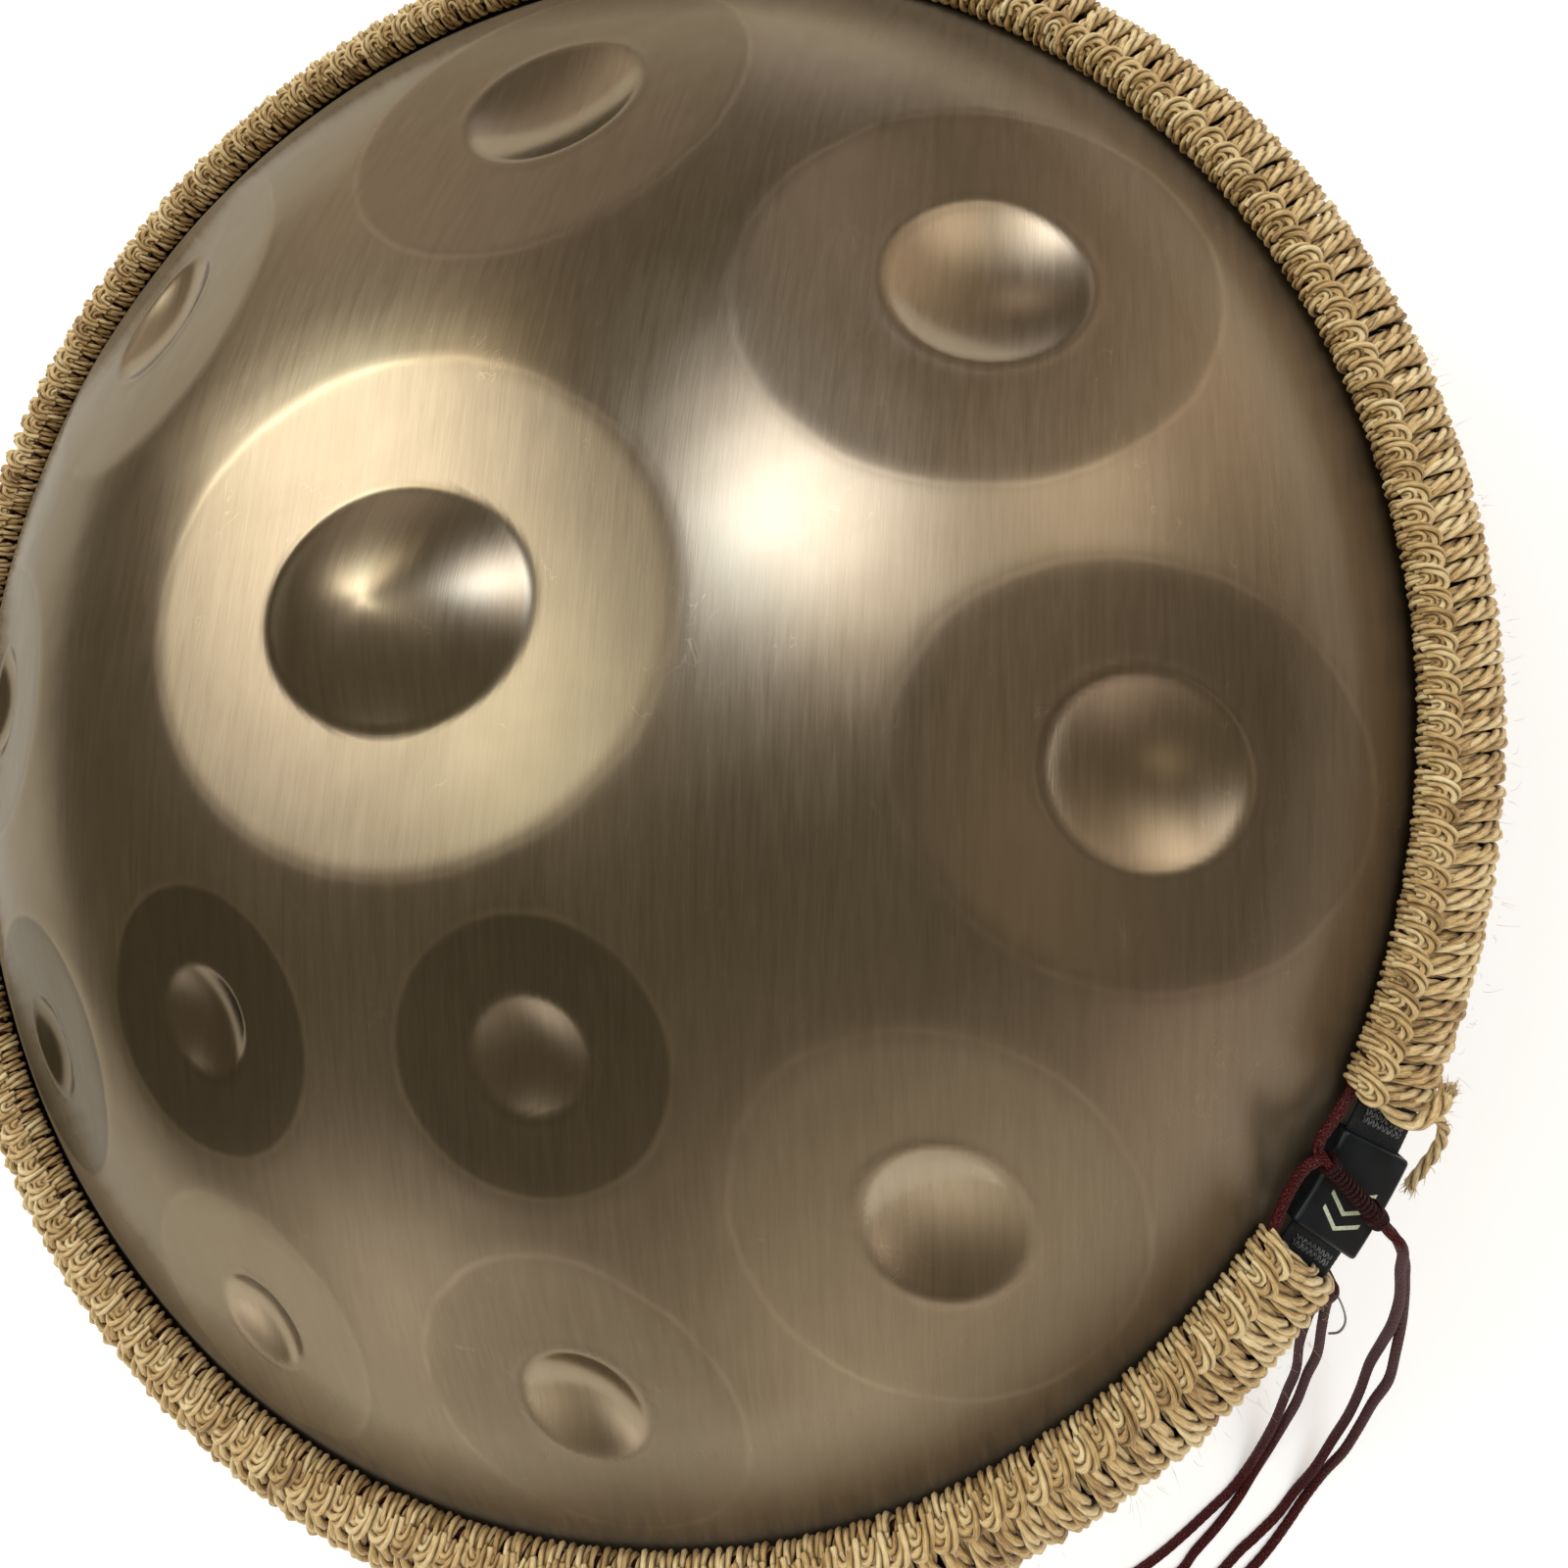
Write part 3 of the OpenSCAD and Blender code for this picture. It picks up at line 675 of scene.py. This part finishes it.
def zip_rings(first_a, count_a, first_b, count_b):
    """Triangles between two rings that start at the same angle."""
    faces, i, j = [], 0, 0
    while i < count_a or j < count_b:
        if j >= count_b or (i < count_a and (i + 1) * count_b <= (j + 1) * count_a):
            faces.append((first_a + i % count_a, first_b + j % count_b, first_a + (i + 1) % count_a))
            i += 1
        else:
            faces.append((first_a + i % count_a, first_b + j % count_b, first_b + (j + 1) % count_b))
            j += 1
    return faces


def cap_directions(rings, max_angle):
    """Unit vectors over a cap, in rings of 6, 12, 18 and so on."""
    out = [[[0.0, 0.0, 1.0]]]
    for k in range(1, rings + 1):
        a = 2 * math.pi * np.arange(6 * k) / (6 * k)
        p = max_angle * k / rings
        out.append(np.stack([math.sin(p) * np.cos(a), math.sin(p) * np.sin(a),
                             np.full(6 * k, math.cos(p))], 1))
    return np.vstack(out)


def cap_faces(first, rings):
    faces, starts = [], [first]
    for k in range(1, rings + 1):
        starts.append(starts[-1] + (6 * (k - 1) if k > 1 else 1))
    for i in range(6):
        faces.append((first, starts[1] + i, starts[1] + (i + 1) % 6))
    for k in range(1, rings):
        faces += zip_rings(starts[k], 6 * k, starts[k + 1], 6 * (k + 1))
    return np.array(faces), starts[rings]


def ring_points(radius, height, count):
    a = 2 * math.pi * np.arange(count) / count
    return np.stack([radius * np.cos(a), radius * np.sin(a), np.full(count, height)], 1)


def plan_uv(verts, faces):
    """UVs in plan, with u along the brush strokes."""
    c, s = math.cos(-BRUSH_TURN), math.sin(-BRUSH_TURN)
    flat = np.stack([verts[:, 0] * c + verts[:, 1] * s, -verts[:, 0] * s + verts[:, 1] * c], 1) * 0.01
    return flat[faces.ravel()]


def upper_shell():
    rings, inner_rings = 165, 58
    rim = math.asin(WALL / DOME_R)
    d = cap_directions(rings, rim)
    outer = d * top_radius(d)[:, None] + [0, 0, DOME_C]
    edge = 6 * rings
    outer[-edge:, 2] = np.maximum(outer[-edge:, 2], SEAM + FLANGE_TOP)
    faces, last = cap_faces(0, rings)
    sets, verts = [faces], [outer]
    count = len(outer)
    inner_z = SEAM + BOND_HALF
    inner_r = DOME_R - SHEET
    inner_rim = math.acos((inner_z - DOME_C) / inner_r)
    flange = SEAM + FLANGE_TOP
    for radius, height in [(257.6, flange - 0.25), (259.5, flange), (266.5, flange), (267, flange - 0.4),
                           (267, inner_z + 0.4), (266.5, inner_z), (257, inner_z)]:
        verts.append(ring_points(radius, height, edge))
        sets.append(np.array(zip_rings(last, edge, count, edge)))
        last, count = count, count + edge
    d = cap_directions(inner_rings, inner_rim)
    inner = d * (top_radius(d) - SHEET)[:, None] + [0, 0, DOME_C]
    inner[-6 * inner_rings:] = ring_points(inner_r * math.sin(inner_rim), inner_z, 6 * inner_rings)
    inner_faces, inner_last = cap_faces(count, inner_rings)
    sets.append(inner_faces[:, ::-1])
    sets.append(np.array(zip_rings(last, edge, inner_last, 6 * inner_rings)))
    verts.append(inner)
    verts, faces = np.vstack(verts), np.vstack(sets)
    return make_piece("top_shell", verts, [faces], [plan_uv(verts, faces)], STEEL_TOP)


def lathe(name, profile, count, material):
    """Surface of revolution about Z from a closed outline of (radius, height) points."""
    rows = [ring_points(r, z, count) for r, z in profile]
    verts = np.vstack(rows)
    k = np.arange(count)
    k2 = (k + 1) % count
    quads = []
    for i in range(len(profile)):
        j = (i + 1) % len(profile)
        quads.append(np.stack([i * count + k, i * count + k2, j * count + k2, j * count + k], 1))
    quads = np.vstack(quads)
    return make_piece(name, verts, [quads], [plan_uv(verts, quads)], material)


def lower_profile():
    """Closed section of the lower shell: bowl, rolled port lip, neck, inside and flange."""
    bowl_h = BOWL_DEPTH - FLANGE_TOP
    bowl_r = (WALL ** 2 + bowl_h ** 2) / (2 * bowl_h)
    bowl_c = SEAM - BOWL_DEPTH + bowl_r
    low = SEAM - BOND_HALF
    arc = lambda r, radius: bowl_c - math.sqrt(radius ** 2 - r ** 2)
    pts = [(266.5, low), (267, low - 0.35), (267, low - 0.85), (266.5, low - SHEET), (259.5, low - SHEET),
           (257.6, low - SHEET - 0.3)]
    join = 65.6
    for r in np.linspace(WALL - 0.1, join, 66):
        pts.append((r, arc(r, bowl_r)))
    for a in np.linspace(-20, -180, 17):
        pts.append((60 + 6 * math.cos(math.radians(a)), 6 + 6 * math.sin(math.radians(a))))
    pts += [(54, 20), (54, 35.7), (54.3, 36), (54.9, 36), (55.2, 35.7), (55.2, 20), (55.2, 7)]
    for a in np.linspace(-175, -25, 12):
        pts.append((60 + 4.8 * math.cos(math.radians(a)), 6 + 4.8 * math.sin(math.radians(a))))
    for r in np.linspace(join + 0.4, 255.6, 40):
        pts.append((r, arc(r, bowl_r - SHEET)))
    pts.append((257, low))
    return pts


top = upper_shell()
settle(top, "pan", "upper_shell")
bottom = lathe("bottom_shell", lower_profile(), 560, STEEL_BOTTOM)
settle(bottom, "pan", "lower_shell")


# --- rim strap and sleeve

# Inner edge of the strap, its fall outwards, its width and half its thickness
STRAP_R, STRAP_Z, STRAP_FALL = 257.8, 6.3, math.radians(22.9)
STRAP_WIDTH, STRAP_HALF = 15.4, 0.7
# Mean radius of the rim cover
COVER_R = 262


def on_strap(angle, along, out):
    """Point of the strap's own axes at an azimuth in degrees: along the fall and out of the strap."""
    r = STRAP_R + along * math.cos(STRAP_FALL) + out * math.sin(STRAP_FALL)
    z = SEAM + STRAP_Z - along * math.sin(STRAP_FALL) + out * math.cos(STRAP_FALL)
    a = np.radians(angle)
    return np.stack([r * np.cos(a), r * np.sin(a), z + 0 * a], -1)


def strap_sweep(angles, section, closed_ring=False):
    """Sweeps closed sections (angles, points, 2) in strap axes. Returns verts, faces and uvs."""
    angles = np.asarray(angles, float)
    section = np.broadcast_to(section, (len(angles),) + np.shape(section)[-2:])
    count = section.shape[1]
    verts = on_strap(angles[:, None], section[..., 0], section[..., 1]).reshape(-1, 3)
    rows = len(angles) if closed_ring else len(angles) - 1
    i = np.arange(rows)[:, None]
    j = (i + 1) % len(angles)
    k = np.arange(count)[None]
    k2 = (k + 1) % count
    quads = np.stack([i * count + k, j * count + k, j * count + k2, i * count + k2], -1).reshape(-1, 4)
    faces = [quads]
    if not closed_ring:
        faces.append(np.stack([np.arange(count), (len(angles) - 1) * count + np.arange(count)[::-1]]))
    run = np.radians(angles)[:, None] * COVER_R
    flat = np.stack([run + 0 * section[..., 0], section[..., 0]], -1).reshape(-1, 2)
    uvs = [flat[f.ravel()] for f in faces]
    return verts, faces, uvs


def webbing_strap():
    fine = np.arange(-96.5, -83.5, 0.06)
    rest = np.arange(-83.5, 263.5, 1.0)
    angles = np.concatenate([fine, rest])
    x = np.linspace(0, STRAP_WIDTH, 40)
    mid = STRAP_WIDTH / 2
    edge = np.sqrt(np.clip(1 - (np.abs(x - mid) / mid) ** 10, 0, 1))
    upper = np.stack([x, STRAP_HALF * edge], 1)
    lower = np.stack([x[::-1], -STRAP_HALF * edge[::-1]], 1)
    section = np.concatenate([upper, lower[1:-1]])
    arc = np.radians(angles)[:, None] * 265
    odd_row = np.where((np.round(section[None, :, 0] / 0.8) % 2) > 0, math.pi, 0)
    rib = np.sin(arc * 2 * math.pi / 1.3 + odd_row)
    grow = 0.06 * rib * (np.abs(section[None, :, 1]) > 0.4) * (angles < -83.5)[:, None]
    sections = np.repeat(section[None], len(angles), 0)
    sections[..., 1] += grow * np.sign(sections[..., 1])
    return strap_sweep(angles, sections, closed_ring=True)


strap = make_piece("webbing_strap", *webbing_strap(), WEBBING)
settle(strap, "pan", "rim_strap")


def bar_tack(name, node, start, angle):
    """Rows of short black stitches across the strap."""
    lines = []
    rows = 16
    for k in range(rows):
        across = 2.7 + (12.9 - 2.7) * k / (rows - 1)
        at = start
        phase = rng.uniform(0, 0.3)
        while at < start + angle:
            end = min(at + 0.36, start + angle)
            t = np.linspace(0, 1, 7)
            skew = 0.35 * (1 if k % 2 else -1)
            lines.append(on_strap(at + (end - at) * t, across + skew * (t - 0.5),
                                  0.72 + 0.33 * np.sin(math.pi * t)))
            at += 0.4 + phase * 0.1
    piece = make_piece(name, *tubes(np.array(lines), 0.2, 6), THREAD_BLACK)
    settle(piece, "pan", node)


bar_tack("bar_tack_left", "strap_tack_left", -94.6, 0.7)
bar_tack("bar_tack_right", "strap_tack_right", -86.9, 1.2)


def rounded(points, radius, steps=4):
    """Closed outline with its corners rounded."""
    p = np.asarray(points, float)
    out = []
    for i in range(len(p)):
        a, b, c = p[i - 1], p[i], p[(i + 1) % len(p)]
        r = min(radius, np.linalg.norm(a - b) * 0.45, np.linalg.norm(c - b) * 0.45)
        s, e = b + unit(a - b) * r, b + unit(c - b) * r
        for t in np.linspace(0, 1, steps):
            out.append((1 - t) ** 2 * s + 2 * t * (1 - t) * b + t * t * e)
    return np.array(out)


def sleeve_section(shrink):
    """C section of the rubber sleeve in strap axes, outer faces drawn in by shrink."""
    w, play, wall, tack = STRAP_WIDTH, 0.3, 1.5, 0.5
    top, low = STRAP_HALF + tack + play + wall, STRAP_HALF + play + wall
    lo, hi = -play - wall + shrink, w + play + wall - shrink
    outline = [[lo, -low + shrink], [lo, top - 0.8], [lo + 0.9, top - shrink], [hi - 0.9, top - shrink],
               [hi, top - 0.8], [hi, -low + shrink], [w - 2.2, -low + shrink], [w - 2.2, -low + wall],
               [w + play, -low + wall], [w + play, top - wall], [-play, top - wall], [-play, -low + wall],
               [2.2, -low + wall], [2.2, -low + shrink]]
    return rounded(outline, 0.45)


def rubber_sleeve():
    start, end = -93.4, -87.6
    steps = [0, 0.05, 0.12, 0.22] + list(np.linspace(0.4, 5.4, 26)) + [5.58, 5.68, 5.75, 5.8]
    shrink = {0: 0.55, 0.05: 0.25, 0.12: 0.08, 5.68: 0.08, 5.75: 0.25, 5.8: 0.55}
    sections = np.array([sleeve_section(shrink.get(s, 0.0)) for s in steps])
    return strap_sweep(start + np.array(steps), sections)


sleeve = make_piece("rubber_sleeve", *rubber_sleeve(), RUBBER)
settle(sleeve, "sleeve", "strap_sleeve")


def sleeve_print():
    """Three plain chevrons printed on the sleeve."""
    sets = []
    for mid in (-92.5, -91.6, -90.7):
        for side in (-1, 1):
            t = np.linspace(0, 1, 14)
            across = STRAP_WIDTH / 2 + side * t * 5.3
            a0 = mid + 0.75 * t
            rows = []
            for half in (-0.13, 0.13):
                for out in (2.965, 3.03):
                    rows.append(on_strap(a0 + half, across, np.full(len(t), out)))
            v = np.stack(rows, 1).reshape(-1, 3)
            i = np.arange(len(t) - 1) * 4
            ring = [(0, 1), (1, 3), (3, 2), (2, 0)]
            quads = np.concatenate([np.stack([i + a, i + b, i + 4 + b, i + 4 + a], 1) for a, b in ring])
            last = 4 * (len(t) - 1)
            caps = np.array([[0, 2, 3, 1], [last, last + 1, last + 3, last + 2]])
            quads = np.concatenate([quads, caps])
            if side < 0:
                quads = quads[:, ::-1]
            sets.append((v, [quads], [np.zeros((quads.size, 2))]))
    return join_sets(sets)


mark = make_piece("sleeve_chevrons", *sleeve_print(), INK, smooth=False)
settle(mark, "sleeve")


# --- jute cover

# Azimuths of the gap, number of stitches, and the twine's plies in millimetres
GAP_START, GAP_END = -94.7, -85.4
STITCHES = 226
PLY_R, PLY_OFF, PLY_PITCH = 0.82, 0.86, 19.0
# Lean of the outer strands in pitches, and how far they bulge, by azimuth
LEAN_AT = [-180, -140, -115, -97, -84, -60, -40, -22, 60, 180]
LEAN = [0.0, -0.3, -0.5, -0.35, 0.6, 0.85, 0.5, 0.16, 0.14, 0.0]
SWELL = [-0.6, -0.6, -0.8, -1.2, -1.9, -0.7, 0.9, 1.9, 0.0, -0.6]


def stitch_places():
    """Azimuth of every stitch, and the angle to the next one. They are closer near azimuth -72."""
    a = np.linspace(GAP_END, GAP_START + 360, 4000)
    turn = (a + 180) % 360 - 180
    crowd = 1 + 0.4 * np.exp(-((turn + 72) / 36) ** 2)
    run = np.concatenate([[0], np.cumsum((crowd[1:] + crowd[:-1]) / 2)])
    places = np.interp((np.arange(STITCHES) + 0.5) / STITCHES * run[-1], run, a)
    return places, np.gradient(places)


PLACES, PITCHES = stitch_places()


def low_side(line):
    flipped = line.copy()
    flipped[:, 2] *= -1
    return flipped


def wrap(s0, lean):
    """Twine round the drawstring's edging: shift in pitches, radius and height from the seam."""
    a = np.radians(np.linspace(-62, 250, 28))
    line = np.stack([s0 + lean * np.linspace(-0.5, 0.5, len(a)), 256.7 + 3.4 * np.cos(a),
                     9.2 + 3.4 * np.sin(a)], 1)
    return line[::-1]


def stitch_lines():
    """The lines of one stitch, each with its scale."""
    curl = smooth_line([
        [0.62, 253.4, 12.6], [0.58, 255, 14.2], [0.46, 257, 15.2], [0.22, 258.8, 15.3],
        [-0.06, 259.5, 14.8], [-0.34, 258.8, 14.2], [-0.46, 257, 13.7], [-0.36, 255.4, 12.8]], 0.42)
    inner = smooth_line([[0.3, 254.2, 12.9], [0.22, 256, 14.4], [0.02, 256.9, 14.7],
                         [-0.16, 256.3, 14.1], [-0.2, 254.8, 13]], 0.42)
    under = smooth_line([[0.4, 258.0, 10.6], [0.46, 261.0, 10.4], [0.46, 264.5, 9.2], [0.46, 267.2, 7.0],
                         [0.46, 268.8, 3.8]], 1.0)
    out = np.array([[-0.04, 255.6, 11.2], [-0.08, 258.8, 12.7], [-0.1, 262.2, 12.6], [-0.13, 265.8, 11.2],
                    [-0.19, 269.6, 8.4], [-0.25, 272.9, 4.2], [-0.25, 274.5, -1.0], [-0.25, 272.9, -6.0],
                    [-0.19, 269.4, -9.6], [-0.13, 265.4, -11.8], [-0.1, 261.8, -12.7], [-0.08, 258.8, -12.4],
                    [-0.04, 256.4, -11.0]])
    over = out + [0, 0, 0.25]
    second = out * [-1, 1, 1] + [0.02, -0.1, -0.25]
    lines = []
    for flip in (lambda q: q, low_side):
        lines += [(flip(wrap(-0.25, 0.1)), 0.94), (flip(wrap(0.25, 0.1)), 0.94), (flip(curl), 0.98),
                  (flip(inner), 0.78), (flip(under), 0.7)]
    return lines + [(smooth_line(over, 1.0), 1.16), (smooth_line(second, 1.0), 1.14)]


def jute_stitches():
    """All stitches as equal-length lines in (azimuth, radius, height), with twine scales."""
    batches = []
    lean = np.interp((PLACES + 180) % 360 - 180, LEAN_AT, LEAN)
    swell = np.interp((PLACES + 180) % 360 - 180, LEAN_AT, SWELL)
    fit = np.clip(0.95 + (PITCHES * math.radians(1) * COVER_R - 5.7) * 0.11, 0.93, 1.12)
    for line, scale in stitch_lines():
        jitter = rng.normal(size=(STITCHES, 4)) * [0.035, 0.16, 0.2, 0.06]
        arr = np.repeat(line[None], STITCHES, 0)
        bend = np.sin(np.linspace(0, math.pi, len(line)))[None]
        lean_share = np.clip((line[:, 1] - 259.5) / 15, 0, 1)[None]
        shift = arr[..., 0] + lean[:, None] * lean_share + jitter[:, :1] + jitter[:, 3:] * bend
        arr[..., 0] = PLACES[:, None] + np.clip(shift, -9, 9) * PITCHES[:, None]
        arr[..., 0] = np.clip(arr[..., 0], GAP_END - 0.15, GAP_START + 360.15)
        arr[..., 1] += jitter[:, 1:2] * bend + swell[:, None] * lean_share
        arr[..., 2] += jitter[:, 2:3] * bend
        batches.append((arr, scale * fit))
    return batches


def to_world(arr):
    a = np.radians(arr[..., 0])
    return np.stack([arr[..., 1] * np.cos(a), arr[..., 1] * np.sin(a), arr[..., 2] + SEAM], -1)


def twine(lines, scale, sides=6):
    """Three twisted plies along each line. Returns verts, faces, uvs, and each vertex's depth and tone."""
    count = len(lines)
    scale = np.broadcast_to(np.asarray(scale, float), (count,))[:, None]
    phase = rng.uniform(0, 6.28, size=(count, 1))
    strands = swirl(lines, 3, (PLY_OFF * scale)[..., None], PLY_PITCH, phase)
    lump = 1 + 0.07 * np.sin(run_length(strands) * 1.7 + rng.uniform(0, 6.28, size=(len(strands), 1)))
    verts, faces, uvs = tubes(strands, (PLY_R * np.tile(scale, (3, 1)) * lump)[..., None], sides)
    middle = np.tile(lines, (3, 1, 1))[:, :, None]
    depth = np.linalg.norm(verts.reshape(3 * count, -1, sides, 3) - middle, axis=-1)
    depth = depth / ((PLY_OFF + PLY_R) * np.tile(scale, (3, 1)))[..., None]
    tone = rng.uniform(-1, 1, size=(3 * count, 1, 1)) * 0.7
    tone = tone + np.tile(rng.uniform(-1, 1, size=(count, 1, 1)), (3, 1, 1))
    lay = np.stack([depth, tone + 0 * depth, 0 * depth], -1).reshape(-1, 3)
    return verts, faces, [u + [0, k * 1.37] for k, u in enumerate(uvs)], lay


JUTE_PIECES = 12
batches = [(to_world(b), scale) for b, scale in jute_stitches()]
cuts = np.linspace(0, STITCHES, JUTE_PIECES + 1).astype(int)
for k in range(JUTE_PIECES):
    part = slice(cuts[k], cuts[k + 1])
    made = [twine(b[part], scale[part]) for b, scale in batches]
    piece = make_piece(f"jute_stitches_{k + 1}", *join_sets([m[:3] for m in made]), JUTE,
                       lay=np.concatenate([m[3] for m in made]))
    settle(piece, "pan", "jute_cover" if k == 0 else None)


def tail(name, node, route, scale):
    """End of the jute twine, twisted near its start and frayed at its tip."""
    line = smooth_line(raised(route), 0.8)
    made = twine(line[None], scale, 8)
    sets = [made[:3]]
    ahead = unit(line[-1] - line[-4])
    hairs = []
    for _ in range(70):
        spread = rng.normal(size=3) * 0.75
        bow = rng.normal(size=3) * 0.8
        t = np.linspace(0, 1, 9)[:, None]
        start = line[-3] + rng.normal(size=3) * 0.55 * scale
        hairs.append(start + ahead * t * rng.uniform(1.6, 3.4) + spread * t ** 2 + bow * t * (1 - t))
    for _ in range(14):
        at = line[rng.integers(2, len(line) - 2)]
        out = unit(rng.normal(size=3))
        t = np.linspace(0, 1, 9)[:, None]
        hairs.append(at + out * 1.2 * scale + (out * t + ahead * t ** 2) * rng.uniform(0.8, 2.2))
    sets.append(tubes(np.array(hairs), np.linspace(0.17, 0.05, 9)[None, :, None], 5))
    lay = np.concatenate([made[3], np.tile([[0.95, 0.8, 0.0]], (len(sets[1][0]), 1))])
    piece = make_piece(name, *join_sets(sets), JUTE, lay=lay)
    settle(piece, "pan", node)


tail("frayed_tail_long", "jute_tail_long", TAIL_LONG, 1.22)
tail("frayed_tail_short", "jute_tail_short", TAIL_SHORT, 0.88)


def fuzz():
    """Loose fibres standing off the twine."""
    count, n = 1500, 7
    a = rng.uniform(GAP_END + 0.3, GAP_START + 359.7, size=count)
    b = rng.uniform(-2.4, 2.4, size=count)
    r = 266 + 11.4 * np.cos(b)
    z = 12.6 * np.sin(b)
    base = to_world(np.stack([a, r, z], 1))
    out = unit(to_world(np.stack([a, r + np.cos(b), z + np.sin(b)], 1)) - base)
    lean = unit(rng.normal(size=(count, 3)))
    long = rng.uniform(1.0, 3.2, size=(count, 1, 1))
    t = np.linspace(0, 1, n)[None, :, None]
    curve = base[:, None] - out[:, None] * 0.8 + (out[:, None] * t + lean[:, None] * (t ** 2) * 1.1) * long
    made = tubes(curve, np.linspace(0.055, 0.02, n)[None, :, None], 3)
    return made, np.tile([[0.95, 0.8, 0.0]], (len(made[0]), 1))


fibres, fibre_lay = fuzz()
hairs = make_piece("jute_fuzz", *fibres, JUTE, lay=fibre_lay)
settle(hairs, "pan")


# --- CAD nodes that stay

for name, look in (("seam_bond", GLUE), ("drawstring_upper", CORD_LOOK), ("drawstring_lower", CORD_LOOK)):
    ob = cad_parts[name]
    ob.data.materials.clear()
    ob.data.materials.append(look)


# --- floor and light

def stage_look():
    """Matt white floor, clear from below so that the underside can be seen."""
    look = Look("floor_white", Roughness=0.9, Emission_Color=(1, 1, 1, 1), Emission_Strength=0.34)
    n = look.noise(look.coords(), 3.0, 2.0, 0.5)
    clear = look.node("BsdfTransparent")
    blend = look.node("MixShader", {0: look.node("NewGeometry").outputs["Backfacing"],
                                    1: look.bsdf.outputs[0], 2: clear.outputs[0]})
    look.put(look.out.inputs[0], blend.outputs[0])
    return look.set(Base_Color=look.mix(n, (0.92, 0.92, 0.92), (0.94, 0.94, 0.94)))


def make_floor():
    size, n = 4000.0, 8
    g = np.linspace(-size, size, n + 1)
    x, y = np.meshgrid(g, g)
    verts = np.stack([x.ravel(), y.ravel(), np.full(x.size, -0.05)], 1)
    i, j = np.meshgrid(np.arange(n), np.arange(n))
    a = (i * (n + 1) + j).ravel()
    quads = np.stack([a, a + 1, a + n + 2, a + n + 1], 1)
    floor = make_piece("floor", verts, [quads], [verts[:, :2][quads.ravel()] * 0.001], stage_look())


make_floor()


# Colour of the dim room, then each glow: polar angle, azimuth, spread and colour
ROOM = (0.0428, 0.0361, 0.025)
GLOWS = [
    [28, 0, 13, (0.89, 0.925, 0.992)], [42, 106, 13, (0.943, 0.907, 0.829)],
    [88, -135, 24, (0.184, 0.169, 0.148)], [56, -34, 13, (0.329, 0.294, 0.254)],
    [84, -180, 13, (0.25, 0.238, 0.227)], [88, 68, 24, (0.133, 0.115, 0.106)],
    [27, 120, 7, (0.45, 0.465, 0.376)], [88, -23, 24, (0.164, 0.13, 0.108)],
    [28, -30, 13, (0.417, 0.401, 0.38)], [63, 100, 7, (0.954, 0.934, 0.846)],
    [98, 29, 13, (0.229, 0.223, 0.26)], [84, -97, 13, (0.111, 0.089, 0.085)],
    [54, 90, 7, (1.103, 1.2, 1.054)], [18, 0, 7, (0.618, 0.803, 0.982)],
    [63, 10, 7, (0.117, 0.101, 0.092)], [14, 120, 13, (0.138, 0.134, 0.118)],
    [54, -79, 7, (0.07, 0.056, 0.041)], [45, 77, 7, (0.586, 0.528, 0.413)]]
GLOW_GAIN = 5.0


def make_world():
    """Dim room with soft glows in it. Each glow has a polar angle, an azimuth, a spread and a colour."""
    world = bpy.data.worlds.new("studio")
    bpy.context.scene.world = world
    world.use_nodes = True
    sky = Nodes(world.node_tree)
    back = sky.tree.nodes["Background"]
    towards = sky.node("TexCoord").outputs[0]
    total = ROOM
    for polar, azimuth, spread, rgb in GLOWS:
        p, a = math.radians(polar), math.radians(azimuth)
        k = 1 / (1 - math.cos(math.radians(spread)))
        middle = (math.sin(p) * math.cos(a), math.sin(p) * math.sin(a), math.cos(p))
        near = sky.node("VectorMath", {0: towards, 1: middle}, operation="DOT_PRODUCT").outputs["Value"]
        near = sky.node("Math", {0: near, 1: k, 2: -k}, operation="MULTIPLY_ADD").outputs[0]
        near = sky.node("Math", {0: near}, operation="EXPONENT").outputs[0]
        glow = sky.node("VectorMath", {0: rgb, "Scale": near}, operation="SCALE").outputs[0]
        total = sky.node("VectorMath", {0: glow, 1: total}, operation="ADD").outputs[0]
    sky.put(back.inputs[0], total)
    back.inputs[1].default_value = GLOW_GAIN


make_world()
bpy.context.scene.view_settings.view_transform = "Standard"
